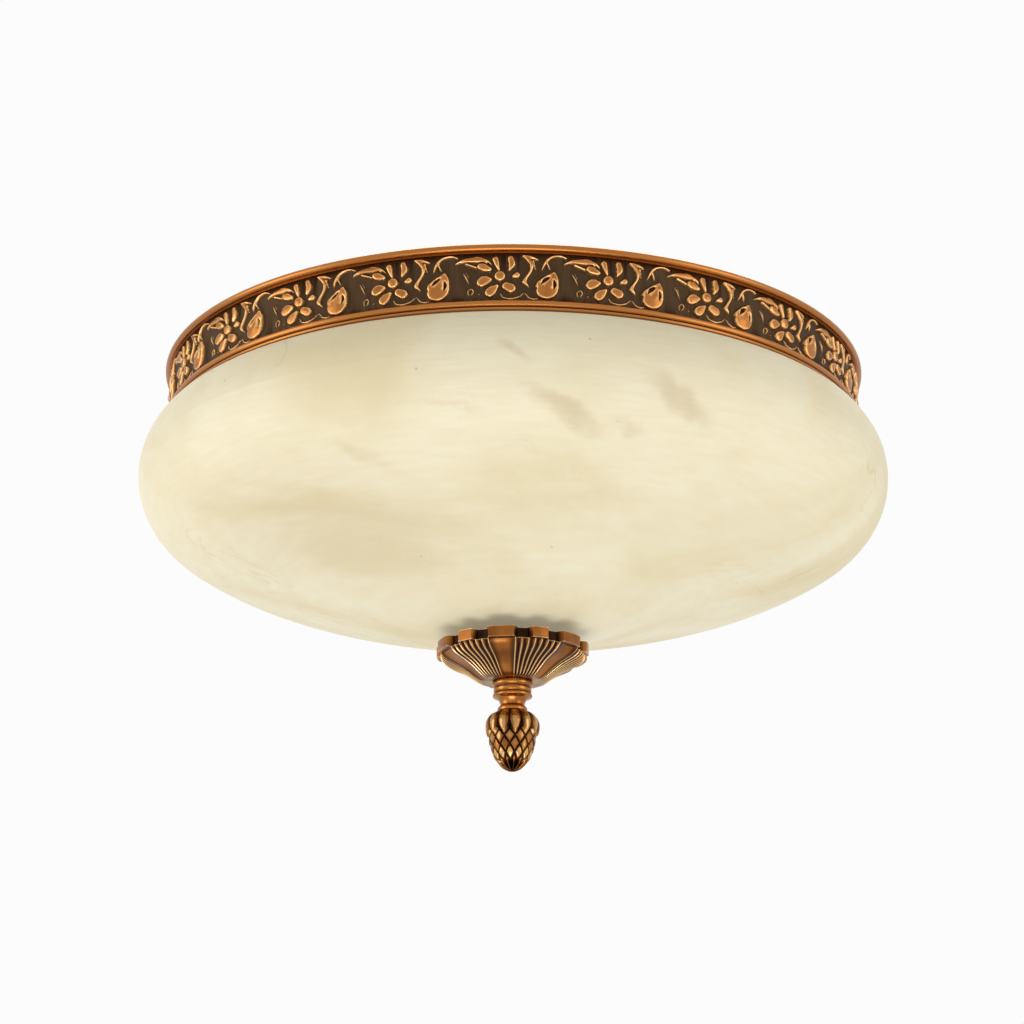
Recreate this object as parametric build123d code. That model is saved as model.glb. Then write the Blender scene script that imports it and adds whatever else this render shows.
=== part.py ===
from build123d import *
import math
import os

# Flush ceiling light: an alabaster bowl, held up against a cast floral gallery band by a fluted cup
# and an acorn finial at the end of a hollow threaded stem. Millimetres. The origin is on the stem's
# axis in the ceiling plane, +Z points up, and the whole light hangs below it.

# ---------------------------------------------------------------- clearances
RUNNING_GAP = 0.10      # between a piece that moves and the seat it rests on, and round a thread
SLIP_GAP = 0.20         # round a screw shank, a lead's lug or a piece that drops into a recess
FELT_GAP = 0.20         # between the felt and the bowl's rim, taken up when the finial is tight

# ---------------------------------------------------------------- gallery band
BAND_RADIUS = 212.0             # outside of the upper moulding
BAND_HEIGHT = 38.0              # ceiling to the bottom edge of the lower moulding
UPPER_MOULDING_HEIGHT = 4.6
LOWER_MOULDING_HEIGHT = 5.4
MOULDING_STEP = 1.4             # upper moulding stands out past the lower one
RELIEF_DEPTH = 3.4              # frieze ground lies this far inside the lower moulding's bead
FRIEZE_WALL = 2.0
FLANGE_THICKNESS = 1.6
UPPER_FLANGE_WIDTH = 25.2
LOWER_FLANGE_WIDTH = 11.2
SEAT_DEPTH = 1.0                # the lower moulding's edge hangs this far below its flange
EDGE_WIDTH = 2.2                # width of that hanging edge
EDGE_INSET = 0.6                # the edge's inner face lies this far inside the frieze's ground
UPPER_BEAD_HEIGHT = 4.0
UPPER_BEAD_FULLNESS = 1.6       # how far the bead swells out past its own corners
UPPER_FILLET_INSET = 3.4        # thin fillet under the bead, set back from the bead's crest
LOWER_BEAD_HEIGHT = 3.8
LOWER_BEAD_FULLNESS = 1.8
GROOVE_DEPTH = 0.5              # groove between the lower bead and the hanging edge
GROOVE_HEIGHT = 0.4
FELT_INSET = 1.7                # the felt's outside lies this far inside the frieze's ground

# ---------------------------------------------------------------- ceiling pan
PAN_WALL = 1.2
PAN_DEPTH = 25.4                # pan flange to the top of the pan's floor
PAN_FLANGE_WIDTH = 26.4
PAN_SKIRT_TAPER = 6.0
PAN_CORNER = 2.0                # slope between the skirt and the floor
PAN_RIM_GAP = 0.8               # pan flange to the inside of the frieze
BAND_SCREW_COUNT = 4
BAND_SCREW_RADIUS = 1.95
BAND_SCREW_HEAD_RADIUS = 3.6
BAND_SCREW_HEAD_HEIGHT = 2.2
DRIVER_GAP = 2.4                # a screwdriver's room between a screw head and the lower flange

# ---------------------------------------------------------------- crossbar
STRAP_LENGTH = 128.0
STRAP_WIDTH = 22.0
STRAP_THICKNESS = 2.5
STRAP_DROP = 14.0
STRAP_BEND_OUTER = 33.0
STRAP_BEND_INNER = 21.0
STRAP_CORNER = 6.0
BOX_SCREW_SPACING = 88.9
BOX_SLOT_LENGTH = 16.0
BOX_SLOT_WIDTH = 5.0
EARTH_SCREW_X = 15.5
EARTH_SCREW_RADIUS = 2.0
EARTH_SCREW_LENGTH = 8.0
EARTH_SCREW_HEAD_RADIUS = 3.6
EARTH_SCREW_HEAD_HEIGHT = 2.4
LUG_RADIUS = 3.9
LUG_THICKNESS = 0.8

# ---------------------------------------------------------------- stem, nuts and washers
STEM_RADIUS = 5.0
STEM_BORE_RADIUS = 3.5
STEM_TOP = -9.0
STEM_WAY_OUT_RADIUS = 2.6       # cross hole that lets the leads out inside the cluster
NUT_FLATS = 14.0
NUT_HEIGHT = 4.0
LOCK_WASHER_RADIUS = 8.0
LOCK_WASHER_THICKNESS = 1.0
PAN_WASHER_RADIUS = 12.0
PAN_WASHER_THICKNESS = 1.2

# ---------------------------------------------------------------- lamp cluster
LAMP_COUNT = 3
LAMP_AXIS_Z = -73.0
FIRST_LAMP_ANGLE = 90.0
CLUSTER_RADIUS = 18.0
CLUSTER_WALL = 3.5
CLUSTER_CHAMFER = 3.0
CLUSTER_HEIGHT = 21.5
CLUSTER_AXIS_ABOVE_FLOOR = 11.0
CLUSTER_LID_THICKNESS = 2.0
CLUSTER_LID_SPIGOT = 2.0
NIPPLE_LENGTH = 18.0
NIPPLE_NUT_HEIGHT = 3.0

# ---------------------------------------------------------------- lampholder, along its own axis
HOLDER_START = 24.0             # from the stem's axis to the holder's back
HOLDER_LENGTH = 52.0
HOLDER_RADIUS = 19.5
HOLDER_WALL = 2.2
HOLDER_HUB_RADIUS = 8.5
HOLDER_HUB_LENGTH = 4.0
HOLDER_CONE_LENGTH = 6.0
HOLDER_LIP_LENGTH = 2.5
HOLDER_BACK_WALL = 9.0
INSERT_OFFSET = 17.0
INSERT_THICKNESS = 8.0
CONTACT_RADIUS = 4.0
CONTACT_HEIGHT = 1.4
SLEEVE_BORE_RADIUS = 13.5
SLEEVE_WALL = 0.6
SLEEVE_GAP = 0.7                # round the sleeve, at the holder's lip

# ---------------------------------------------------------------- bulb
CAP_RADIUS = 13.1
CAP_LENGTH = 26.0
CAP_TIP_LENGTH = 4.4
CAP_TIP_RADIUS = 4.0
GLOBE_RADIUS = 30.0
GLOBE_LENGTH = 75.5
GLOBE_WALL = 1.0
GLOBE_NECK_RADIUS = 13.6

# ---------------------------------------------------------------- terminal block and leads
BLOCK_LENGTH = 34.0
BLOCK_WIDTH = 18.0
BLOCK_HEIGHT = 14.0
BLOCK_SHOULDER = 8.0
BLOCK_TOP_WIDTH = 10.0
BLOCK_DISTANCE = 46.0
POLE_SPACING = 11.0
WIRE_WAY_RADIUS = 1.6
WIRE_WAY_HEIGHT = 5.0
TERMINAL_SCREW_RADIUS = 1.7
TERMINAL_SCREW_LENGTH = 3.0
TERMINAL_SCREW_SPREAD = 2.6
LEAD_RADIUS = 1.0
LEAD_SPREAD = 1.3
LEAD_TOP = -4.4

# ---------------------------------------------------------------- alabaster bowl
BOWL_RIM_INSET = 1.2            # the rim lies this far inside the frieze's ground
BOWL_SHOULDER_WIDTH = 19.0      # rim to the widest line
BOWL_SHOULDER_HEIGHT = 29.9     # widest line to the rim
BOWL_WALL = 10.0
BOWL_BELLY_RADIUS = 43.5        # curve from the widest line in towards the underside
BOWL_BELLY_TURN = 57.6          # degrees
BOWL_UNDERSIDE_RADIUS = 189.3   # flatter curve that follows it, before the straight foot
BOWL_UNDERSIDE_TURN = 17.5      # degrees
BOWL_FOOT_FLAT_RADIUS = 24.0
BOWL_FOOT_THICKNESS = 12.0
FELT_THICKNESS = 1.4
FELT_WIDTH = 8.0
GROMMET_GAP = 0.7               # round the stem
GROMMET_WALL = 2.2
GROMMET_FLANGE_RADIUS = 12.0
GROMMET_FLANGE_THICKNESS = 2.0
GASKET_RADIUS = 23.0
GASKET_BORE_RADIUS = 16.0
GASKET_THICKNESS = 2.0

# ---------------------------------------------------------------- fluted cup
CUP_RADIUS = 45.0
CUP_REPEATS = 6                 # one wide and one narrow lobe in each
CUP_TURN = -98.7                # direction of the first wide lobe
CUP_LOBE_HEIGHT = 6.4
CUP_LOBE_STEP = 2.0             # lobes start this far below the gasket
CUP_WIDE_LOBE = 19.5            # degrees
CUP_NARROW_LOBE = 12.0          # degrees
CUP_LOBE_FLANK = 3.0            # degrees, from a lobe's corner to the bottom of the recess beside it
CUP_RECESS = 4.4                # depth of the recess between two lobes
CUP_RECESS_HOLLOW = 0.5         # how far the recess's floor is dished
CUP_WIDE_FLUTE = 22.0           # degrees, under each wide lobe
CUP_RIBS = 7                    # narrow flutes between two wide ones
CUP_FLUTE_DEPTH = 0.34          # of a narrow flute's own width
CUP_WIDE_FLUTE_DEPTH = 0.15     # of a wide flute's own width
CUP_UNDERSIDE = (               # inset from the lobes and depth below them, from the rim to the collar
    (2.0, 0.0),
    (3.6, 2.2),
    (8.0, 4.9),
    (14.0, 7.8),
    (18.8, 10.9),
    (22.6, 13.6),
    (26.8, 15.6),
)
CUP_WALL = 3.0
CUP_FLOOR_WALL = 9.0            # solid metal round the stem, from the cup's foot up
CUP_WALL_LEAN = 1.8             # the inside follows the slope this far in from the outside
CUP_RIM_WALL = 7.0
CUP_HUB_RADIUS = 10.5
CUP_SEAT_WIDTH = 6.5

# ---------------------------------------------------------------- finial
COLLAR_RINGS = (                # radius at the crest and at the edges, depth of the two edges
    (12.0, 11.4, 0.0, 1.8),
    (11.2, 10.3, 2.6, 4.4),
    (11.7, 11.2, 5.0, 7.0),
)
NECK_TOP_RADIUS = 10.3
NECK_MIDDLE_RADIUS = 8.2
NECK_RADIUS = 7.5
NECK_TOP_DEPTH = 7.4
NECK_MIDDLE_DEPTH = 9.0
NECK_FOOT_DEPTH = 11.0
NECK_BEAD_RADIUS = 8.7
NECK_BEAD_FULLNESS = 0.6
NECK_BEAD_DEPTH = 11.5
COLLAR_HEIGHT = 13.2            # top ring to the bottom of the neck's bead
STEM_ENGAGEMENT = 13.4          # length of stem inside the finial when it is tight
FINIAL_END_ROOM = 3.0
ACORN_RADIUS = 16.0
ACORN_HEIGHT = 40.2
ACORN_SHOULDER_RADIUS = 9.5     # curve from the neck out to the widest line
ACORN_LEAF_HEIGHT = 18.0
ACORN_LEAF_EDGE = 2.0           # the leaves turn in over this height
ACORN_LEAF_EDGE_RADIUS = 15.4
ACORN_WAIST_RADIUS = 14.4
ACORN_SWELL_RADIUS = 12.9       # half way from the waist to the end of the curved flank
ACORN_FLANK_RADIUS = 9.8
ACORN_TIP_RADIUS = 6.5

# ================================================================ levels worked out from the above
FRIEZE_RADIUS = BAND_RADIUS - MOULDING_STEP - RELIEF_DEPTH
FRIEZE_BORE = FRIEZE_RADIUS - FRIEZE_WALL
LOWER_MOULDING_TOP = LOWER_MOULDING_HEIGHT - BAND_HEIGHT
FLANGE_UNDERSIDE = SEAT_DEPTH - BAND_HEIGHT
FRIEZE_FOOT = FLANGE_UNDERSIDE + FLANGE_THICKNESS
PAN_TOP = -FLANGE_THICKNESS
PAN_FLOOR = PAN_TOP - PAN_DEPTH
PAN_UNDERSIDE = PAN_FLOOR - PAN_WALL
PAN_RADIUS = FRIEZE_BORE - PAN_RIM_GAP
STRAP_FLOOR = -STRAP_DROP
STRAP_UNDERSIDE = STRAP_FLOOR - STRAP_THICKNESS
CLUSTER_FLOOR = LAMP_AXIS_Z - CLUSTER_AXIS_ABOVE_FLOOR
CLUSTER_TOP = CLUSTER_FLOOR + CLUSTER_HEIGHT
CLUSTER_LID_TOP = CLUSTER_TOP + CLUSTER_LID_THICKNESS
HOLDER_MOUTH = HOLDER_START + HOLDER_LENGTH
SLEEVE_START = HOLDER_START + INSERT_OFFSET + INSERT_THICKNESS
CAP_START = SLEEVE_START + CONTACT_HEIGHT + SLIP_GAP
CAP_END = CAP_START + CAP_LENGTH
BOWL_RIM_RADIUS = FRIEZE_RADIUS - BOWL_RIM_INSET
BOWL_RADIUS = BOWL_RIM_RADIUS + BOWL_SHOULDER_WIDTH
BOWL_HOLE_RADIUS = STEM_RADIUS + GROMMET_GAP + GROMMET_WALL + RUNNING_GAP
BOWL_RIM_Z = FLANGE_UNDERSIDE - FELT_THICKNESS - FELT_GAP
BOWL_EQUATOR_Z = BOWL_RIM_Z - BOWL_SHOULDER_HEIGHT


def bowl_side(inset=0.0):
    """Ends of the bowl's curved side as radius and height: widest line, end of belly, end of underside."""
    belly = BOWL_BELLY_RADIUS - inset
    under = BOWL_UNDERSIDE_RADIUS - inset
    first = math.radians(BOWL_BELLY_TURN)
    last = math.radians(BOWL_BELLY_TURN + BOWL_UNDERSIDE_TURN)
    widest = (BOWL_RADIUS - inset, BOWL_EQUATOR_Z)
    belly_end = (widest[0] - belly * (1 - math.cos(first)), widest[1] - belly * math.sin(first))
    under_end = (
        belly_end[0] - under * (math.cos(first) - math.cos(last)),
        belly_end[1] - under * (math.sin(last) - math.sin(first)),
    )
    return widest, belly_end, under_end


def foot_slope_height(radius, inset=0.0):
    """Height of the straight slope that carries the bowl's side on towards the axis."""
    slope = math.radians(90 - BOWL_BELLY_TURN - BOWL_UNDERSIDE_TURN)
    end = bowl_side(inset)[2]
    return end[1] - (end[0] - radius) * math.tan(slope)


BOWL_FOOT_Z = foot_slope_height(BOWL_FOOT_FLAT_RADIUS)
BOWL_FLOOR_Z = BOWL_FOOT_Z + BOWL_FOOT_THICKNESS
CUP_SEAT_Z = BOWL_FOOT_Z - GASKET_THICKNESS - RUNNING_GAP
CUP_TOP = CUP_SEAT_Z - CUP_LOBE_STEP
CUP_LOBE_FOOT = CUP_TOP - CUP_LOBE_HEIGHT
CUP_BOTTOM = CUP_LOBE_FOOT - CUP_UNDERSIDE[-1][1]
COLLAR_TOP = CUP_BOTTOM - RUNNING_GAP
ACORN_TOP = COLLAR_TOP - COLLAR_HEIGHT
STEM_END = COLLAR_TOP - STEM_ENGAGEMENT
FINIAL_BORE_END = STEM_END - FINIAL_END_ROOM
THREAD_BORE = STEM_RADIUS + RUNNING_GAP
FROM_FOOT = (Align.CENTER, Align.CENTER, Align.MIN)     # a cylinder that stands on its place


# ================================================================ small helpers
def at(radius, height):
    """Point of a turned section: a radius from the axis and a height."""
    return Vector(radius, 0, height)


def turned(section):
    """Closed outline in the XZ plane, turned once round the Z axis."""
    return revolve(make_face(section), Axis.Z)


def turned_outline(points):
    """Turned solid with straight edges between the given radius and height pairs."""
    return turned(Polyline([at(*p) for p in points], close=True))


def ring(inner, outer, bottom, top):
    """Flat ring or washer between two heights."""
    return turned_outline([(inner, bottom), (outer, bottom), (outer, top), (inner, top)])


def around(shape, count, first=0.0):
    """The shape repeated round the Z axis."""
    return [Rot(0, 0, first + i * 360 / count) * shape for i in range(count)]


def hex_nut(bottom, height):
    """Hexagon nut on the Z axis, on the stem's or a nipple's thread."""
    corner = NUT_FLATS / math.cos(math.radians(30)) / 2
    outline = RegularPolygon(corner, 6) - Circle(THREAD_BORE)
    return Pos(0, 0, bottom) * extrude(outline, height)


def lamp_frame(index):
    """Place of a lamp: its own Z axis lies along the lamp's axis, outwards from the stem."""
    angle = FIRST_LAMP_ANGLE + index * 360 / LAMP_COUNT
    return Pos(0, 0, LAMP_AXIS_Z) * Rot(0, 0, angle) * Rot(0, 90, 0)


def lead(points, radii):
    """Round lead along straight runs joined by tangent arcs."""
    path = FilletPolyline([Vector(*p) for p in points], radius=radii)
    section = Plane(origin=path @ 0, z_dir=path % 0) * Circle(LEAD_RADIUS)
    return sweep(section, path)


# ================================================================ gallery band
def upper_moulding():
    """Turned ring against the ceiling: a bead outside, a flange inside."""
    shoulder = BAND_RADIUS - UPPER_BEAD_FULLNESS
    fillet = BAND_RADIUS - UPPER_FILLET_INSET
    flange = FRIEZE_RADIUS - UPPER_FLANGE_WIDTH
    bead_top = at(shoulder, 0)
    bead_foot = at(shoulder, -UPPER_BEAD_HEIGHT)
    section = (
        Line(at(flange, 0), bead_top)
        + ThreePointArc(bead_top, at(BAND_RADIUS, -UPPER_BEAD_HEIGHT / 2), bead_foot)
        + Polyline(
            bead_foot,
            at(fillet, -UPPER_BEAD_HEIGHT),
            at(fillet, -UPPER_MOULDING_HEIGHT),
            at(FRIEZE_RADIUS, -UPPER_MOULDING_HEIGHT),
            at(FRIEZE_RADIUS, -FLANGE_THICKNESS),
            at(flange, -FLANGE_THICKNESS),
            at(flange, 0),
        )
    )
    hole = Pos(band_screw_circle(), 0, 0) * Cylinder(BAND_SCREW_RADIUS + RUNNING_GAP, 10)
    return turned(section) - around(hole, BAND_SCREW_COUNT, 45)


def lower_moulding():
    """Turned ring above the bowl: bead, groove and a thin edge, with the flange that seats the felt."""
    crest = BAND_RADIUS - MOULDING_STEP
    shoulder = crest - LOWER_BEAD_FULLNESS
    groove = shoulder - GROOVE_DEPTH
    edge = FRIEZE_RADIUS + EDGE_WIDTH
    edge_inside = FRIEZE_RADIUS - EDGE_INSET
    flange = FRIEZE_RADIUS - LOWER_FLANGE_WIDTH
    foot = LOWER_MOULDING_TOP - LOWER_BEAD_HEIGHT
    bead_top = at(shoulder, LOWER_MOULDING_TOP)
    bead_foot = at(shoulder, foot)
    section = (
        Polyline(at(FRIEZE_RADIUS, LOWER_MOULDING_TOP), bead_top)
        + ThreePointArc(bead_top, at(crest, LOWER_MOULDING_TOP - LOWER_BEAD_HEIGHT / 2), bead_foot)
        + Polyline(
            bead_foot,
            at(groove, foot),
            at(groove, foot - GROOVE_HEIGHT),
            at(edge, foot - GROOVE_HEIGHT),
            at(edge, -BAND_HEIGHT),
            at(edge_inside, -BAND_HEIGHT),
            at(edge_inside, FLANGE_UNDERSIDE),
            at(flange, FLANGE_UNDERSIDE),
            at(flange, FRIEZE_FOOT),
            at(FRIEZE_RADIUS, FRIEZE_FOOT),
            at(FRIEZE_RADIUS, LOWER_MOULDING_TOP),
        )
    )
    return turned(section)


def gallery_frieze():
    """Plain ground of the cast band, let into a rebate of each moulding."""
    return ring(FRIEZE_BORE, FRIEZE_RADIUS, FRIEZE_FOOT, -FLANGE_THICKNESS)


def band_screw_circle():
    """Radius of the pan's screws: just clear of the lower moulding's flange, seen from below."""
    lower_flange_bore = FRIEZE_RADIUS - LOWER_FLANGE_WIDTH
    return lower_flange_bore - BAND_SCREW_HEAD_RADIUS - DRIVER_GAP


def band_screws():
    """Round-head screws up through the pan's flange into the upper moulding."""
    seat = PAN_TOP - PAN_WALL
    shank_top = -SLIP_GAP
    screw = turned_outline(
        [
            (0, seat - BAND_SCREW_HEAD_HEIGHT),
            (BAND_SCREW_HEAD_RADIUS * 0.6, seat - BAND_SCREW_HEAD_HEIGHT),
            (BAND_SCREW_HEAD_RADIUS, seat - BAND_SCREW_HEAD_HEIGHT * 0.5),
            (BAND_SCREW_HEAD_RADIUS, seat),
            (BAND_SCREW_RADIUS, seat),
            (BAND_SCREW_RADIUS, shank_top),
            (0, shank_top),
        ]
    )
    return around(Pos(band_screw_circle(), 0, 0) * screw, BAND_SCREW_COUNT, 45)


def rim_felt():
    """Felt ring between the lower moulding's flange and the bowl's rim."""
    outer = FRIEZE_RADIUS - FELT_INSET
    return ring(outer - FELT_WIDTH, outer, FLANGE_UNDERSIDE - FELT_THICKNESS, FLANGE_UNDERSIDE)


# ================================================================ ceiling pan and crossbar
def ceiling_pan():
    """Spun dish with a flat flange, a tapered skirt and a floor with the stem's hole."""
    skirt_top = PAN_RADIUS - PAN_FLANGE_WIDTH
    skirt_foot = skirt_top - PAN_SKIRT_TAPER
    hole = STEM_RADIUS + SLIP_GAP
    pan = turned_outline(
        [
            (hole, PAN_FLOOR),
            (skirt_foot - PAN_CORNER, PAN_FLOOR),
            (skirt_foot, PAN_FLOOR + PAN_CORNER),
            (skirt_top, PAN_TOP),
            (PAN_RADIUS, PAN_TOP),
            (PAN_RADIUS, PAN_TOP - PAN_WALL),
            (skirt_top + PAN_WALL, PAN_TOP - PAN_WALL),
            (skirt_foot + PAN_WALL, PAN_FLOOR + PAN_CORNER - PAN_WALL),
            (skirt_foot - PAN_CORNER / 2, PAN_UNDERSIDE),
            (hole, PAN_UNDERSIDE),
        ]
    )
    screw_hole = Pos(band_screw_circle(), 0, 0) * Cylinder(BAND_SCREW_RADIUS + SLIP_GAP, 10)
    return pan - around(screw_hole, BAND_SCREW_COUNT, 45)


def crossbar():
    """Bent steel strap: two slotted ears against the ceiling and a dropped centre for the stem."""
    half = STRAP_LENGTH / 2
    lean = STRAP_THICKNESS * math.tan(math.atan2(STRAP_DROP, STRAP_BEND_OUTER - STRAP_BEND_INNER) / 2)
    upper = [(half, 0), (STRAP_BEND_OUTER, 0), (STRAP_BEND_INNER, STRAP_FLOOR)]
    lower = [
        (STRAP_BEND_INNER + lean, STRAP_UNDERSIDE),
        (STRAP_BEND_OUTER + lean, -STRAP_THICKNESS),
        (half, -STRAP_THICKNESS),
    ]
    right = [at(*p) for p in upper]
    right_low = [at(*p) for p in lower]
    left = [at(-p[0], p[1]) for p in reversed(upper)]
    left_low = [at(-p[0], p[1]) for p in reversed(lower)]
    outline = Polyline(right + left + left_low + right_low, close=True)
    strap = extrude(make_face(outline), STRAP_WIDTH / 2, both=True)
    ends = extrude(RectangleRounded(STRAP_LENGTH, STRAP_WIDTH, STRAP_CORNER), STRAP_DROP * 2, both=True)
    strap = strap & ends
    slot = extrude(SlotOverall(BOX_SLOT_LENGTH, BOX_SLOT_WIDTH), 10, both=True)
    strap -= [Pos(side * BOX_SCREW_SPACING / 2, 0, 0) * slot for side in (-1, 1)]
    strap -= Cylinder(STEM_RADIUS + SLIP_GAP, STRAP_DROP * 4)
    strap -= Pos(EARTH_SCREW_X, 0, 0) * Cylinder(EARTH_SCREW_RADIUS + RUNNING_GAP, STRAP_DROP * 4)
    return strap


def earth_screw():
    """Screw that clamps the earth lead's lug to the crossbar."""
    seat = STRAP_FLOOR + LUG_THICKNESS
    screw = turned_outline(
        [
            (0, seat + EARTH_SCREW_HEAD_HEIGHT),
            (EARTH_SCREW_HEAD_RADIUS * 0.7, seat + EARTH_SCREW_HEAD_HEIGHT),
            (EARTH_SCREW_HEAD_RADIUS, seat + EARTH_SCREW_HEAD_HEIGHT * 0.5),
            (EARTH_SCREW_HEAD_RADIUS, seat),
            (EARTH_SCREW_RADIUS, seat),
            (EARTH_SCREW_RADIUS, seat - EARTH_SCREW_LENGTH),
            (0, seat - EARTH_SCREW_LENGTH),
        ]
    )
    return Pos(EARTH_SCREW_X, 0, 0) * screw


# ================================================================ stem and its fasteners
def stem():
    """Hollow threaded rod from the crossbar down into the finial, cross-drilled inside the cluster."""
    rod = ring(STEM_BORE_RADIUS, STEM_RADIUS, STEM_END, STEM_TOP)
    way_out = Rot(0, 90, 0) * Cylinder(STEM_WAY_OUT_RADIUS, STEM_RADIUS * 3)
    return rod - Pos(0, 0, LAMP_AXIS_Z) * way_out


def lock_washer_seats():
    """Top face of each lock washer, from the crossbar down to the cluster."""
    return (
        STRAP_UNDERSIDE,
        CLUSTER_LID_TOP + LOCK_WASHER_THICKNESS,
        CLUSTER_FLOOR,
    )


def stem_lock_washers():
    """Lock washers under the crossbar and on both sides of the cluster."""
    return [
        ring(THREAD_BORE, LOCK_WASHER_RADIUS, top - LOCK_WASHER_THICKNESS, top)
        for top in lock_washer_seats()
    ]


def stem_nuts():
    """Hexagon nuts on the stem: above and below the crossbar, under the pan, round the cluster."""
    crossbar_washer, lid_washer, floor_washer = lock_washer_seats()
    bottoms = (
        STRAP_FLOOR,
        crossbar_washer - LOCK_WASHER_THICKNESS - NUT_HEIGHT,
        PAN_UNDERSIDE - PAN_WASHER_THICKNESS - NUT_HEIGHT,
        lid_washer,
        floor_washer - LOCK_WASHER_THICKNESS - NUT_HEIGHT,
    )
    return [hex_nut(bottom, NUT_HEIGHT) for bottom in bottoms]


def pan_washer():
    """Wide washer under the pan's floor."""
    return ring(THREAD_BORE, PAN_WASHER_RADIUS, PAN_UNDERSIDE - PAN_WASHER_THICKNESS, PAN_UNDERSIDE)


# ================================================================ lamp cluster
def cluster_body():
    """Turned cup on the stem with a tapped hole for each lamp."""
    inner = CLUSTER_RADIUS - CLUSTER_WALL
    cup = turned_outline(
        [
            (THREAD_BORE, CLUSTER_FLOOR),
            (CLUSTER_RADIUS - CLUSTER_CHAMFER, CLUSTER_FLOOR),
            (CLUSTER_RADIUS, CLUSTER_FLOOR + CLUSTER_CHAMFER),
            (CLUSTER_RADIUS, CLUSTER_TOP),
            (inner, CLUSTER_TOP),
            (inner, CLUSTER_FLOOR + CLUSTER_WALL),
            (THREAD_BORE, CLUSTER_FLOOR + CLUSTER_WALL),
        ]
    )
    drill = Pos(0, 0, CLUSTER_RADIUS) * Cylinder(THREAD_BORE, CLUSTER_RADIUS)
    return cup - [lamp_frame(i) * drill for i in range(LAMP_COUNT)]


def cluster_lid():
    """Disc lid with a spigot that drops into the cluster body."""
    spigot = CLUSTER_RADIUS - CLUSTER_WALL - SLIP_GAP
    return turned_outline(
        [
            (THREAD_BORE, CLUSTER_TOP - CLUSTER_LID_SPIGOT),
            (spigot, CLUSTER_TOP - CLUSTER_LID_SPIGOT),
            (spigot, CLUSTER_TOP),
            (CLUSTER_RADIUS, CLUSTER_TOP),
            (CLUSTER_RADIUS - 1, CLUSTER_LID_TOP),
            (THREAD_BORE, CLUSTER_LID_TOP),
        ]
    )


def holder_nipples():
    """Short hollow nipples from the cluster's wall into the lampholders."""
    start = CLUSTER_RADIUS - CLUSTER_WALL
    nipple = ring(STEM_BORE_RADIUS, STEM_RADIUS, start, start + NIPPLE_LENGTH)
    return [lamp_frame(i) * nipple for i in range(LAMP_COUNT)]


def nipple_nuts():
    """Flat nuts that lock the nipples against the cluster's wall."""
    nut = hex_nut(CLUSTER_RADIUS + SLIP_GAP, NIPPLE_NUT_HEIGHT)
    return [lamp_frame(i) * nut for i in range(LAMP_COUNT)]


def holder_leads():
    """Two leads to each lampholder, from inside the cluster through its nipple to the insert."""
    start = STEM_RADIUS + LEAD_RADIUS * 2
    end = HOLDER_START + INSERT_OFFSET
    rod = Pos(0, 0, start) * extrude(Circle(LEAD_RADIUS), end - start)
    return [
        lamp_frame(i) * Pos(0, side * LEAD_SPREAD, 0) * rod for i in range(LAMP_COUNT) for side in (-1, 1)
    ]


def lampholder_shell(frame):
    """Moulded holder: hub, cone, round barrel and a lip at the mouth."""
    bore = HOLDER_RADIUS - HOLDER_WALL
    barrel = HOLDER_START + HOLDER_HUB_LENGTH + HOLDER_CONE_LENGTH
    back = HOLDER_START + HOLDER_BACK_WALL
    lip_bore = SLEEVE_BORE_RADIUS + SLEEVE_WALL + SLEEVE_GAP
    shell = turned_outline(
        [
            (THREAD_BORE, HOLDER_START),
            (HOLDER_HUB_RADIUS, HOLDER_START),
            (HOLDER_HUB_RADIUS, HOLDER_START + HOLDER_HUB_LENGTH),
            (HOLDER_RADIUS, barrel),
            (HOLDER_RADIUS, HOLDER_MOUTH),
            (lip_bore, HOLDER_MOUTH),
            (lip_bore, HOLDER_MOUTH - HOLDER_LIP_LENGTH),
            (bore, HOLDER_MOUTH - HOLDER_LIP_LENGTH),
            (bore, back + HOLDER_WALL * 2),
            (HOLDER_HUB_RADIUS + HOLDER_WALL, back),
            (THREAD_BORE, back),
        ]
    )
    return frame * shell


def lampholder_insert(frame):
    """Ceramic disc that closes the holder behind the bulb and carries the centre contact."""
    start = HOLDER_START + INSERT_OFFSET
    insert = turned_outline(
        [
            (0, start),
            (HOLDER_RADIUS - HOLDER_WALL - RUNNING_GAP, start),
            (HOLDER_RADIUS - HOLDER_WALL - RUNNING_GAP, SLEEVE_START),
            (CONTACT_RADIUS, SLEEVE_START),
            (CONTACT_RADIUS, SLEEVE_START + CONTACT_HEIGHT),
            (0, SLEEVE_START + CONTACT_HEIGHT),
        ]
    )
    return frame * insert


def screw_sleeve(frame):
    """Metal sleeve that the bulb's cap screws into."""
    outer = SLEEVE_BORE_RADIUS + SLEEVE_WALL
    return frame * ring(SLEEVE_BORE_RADIUS, outer, SLEEVE_START, HOLDER_MOUTH - 0.5)


def bulb_cap(frame):
    """Screw cap of a bulb, with its stepped contact end."""
    cap = turned_outline(
        [
            (0, CAP_START),
            (CAP_TIP_RADIUS, CAP_START),
            (CAP_RADIUS - 2, CAP_START + CAP_TIP_LENGTH * 0.6),
            (CAP_RADIUS, CAP_START + CAP_TIP_LENGTH),
            (CAP_RADIUS, CAP_END),
            (0, CAP_END),
        ]
    )
    return frame * cap


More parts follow.
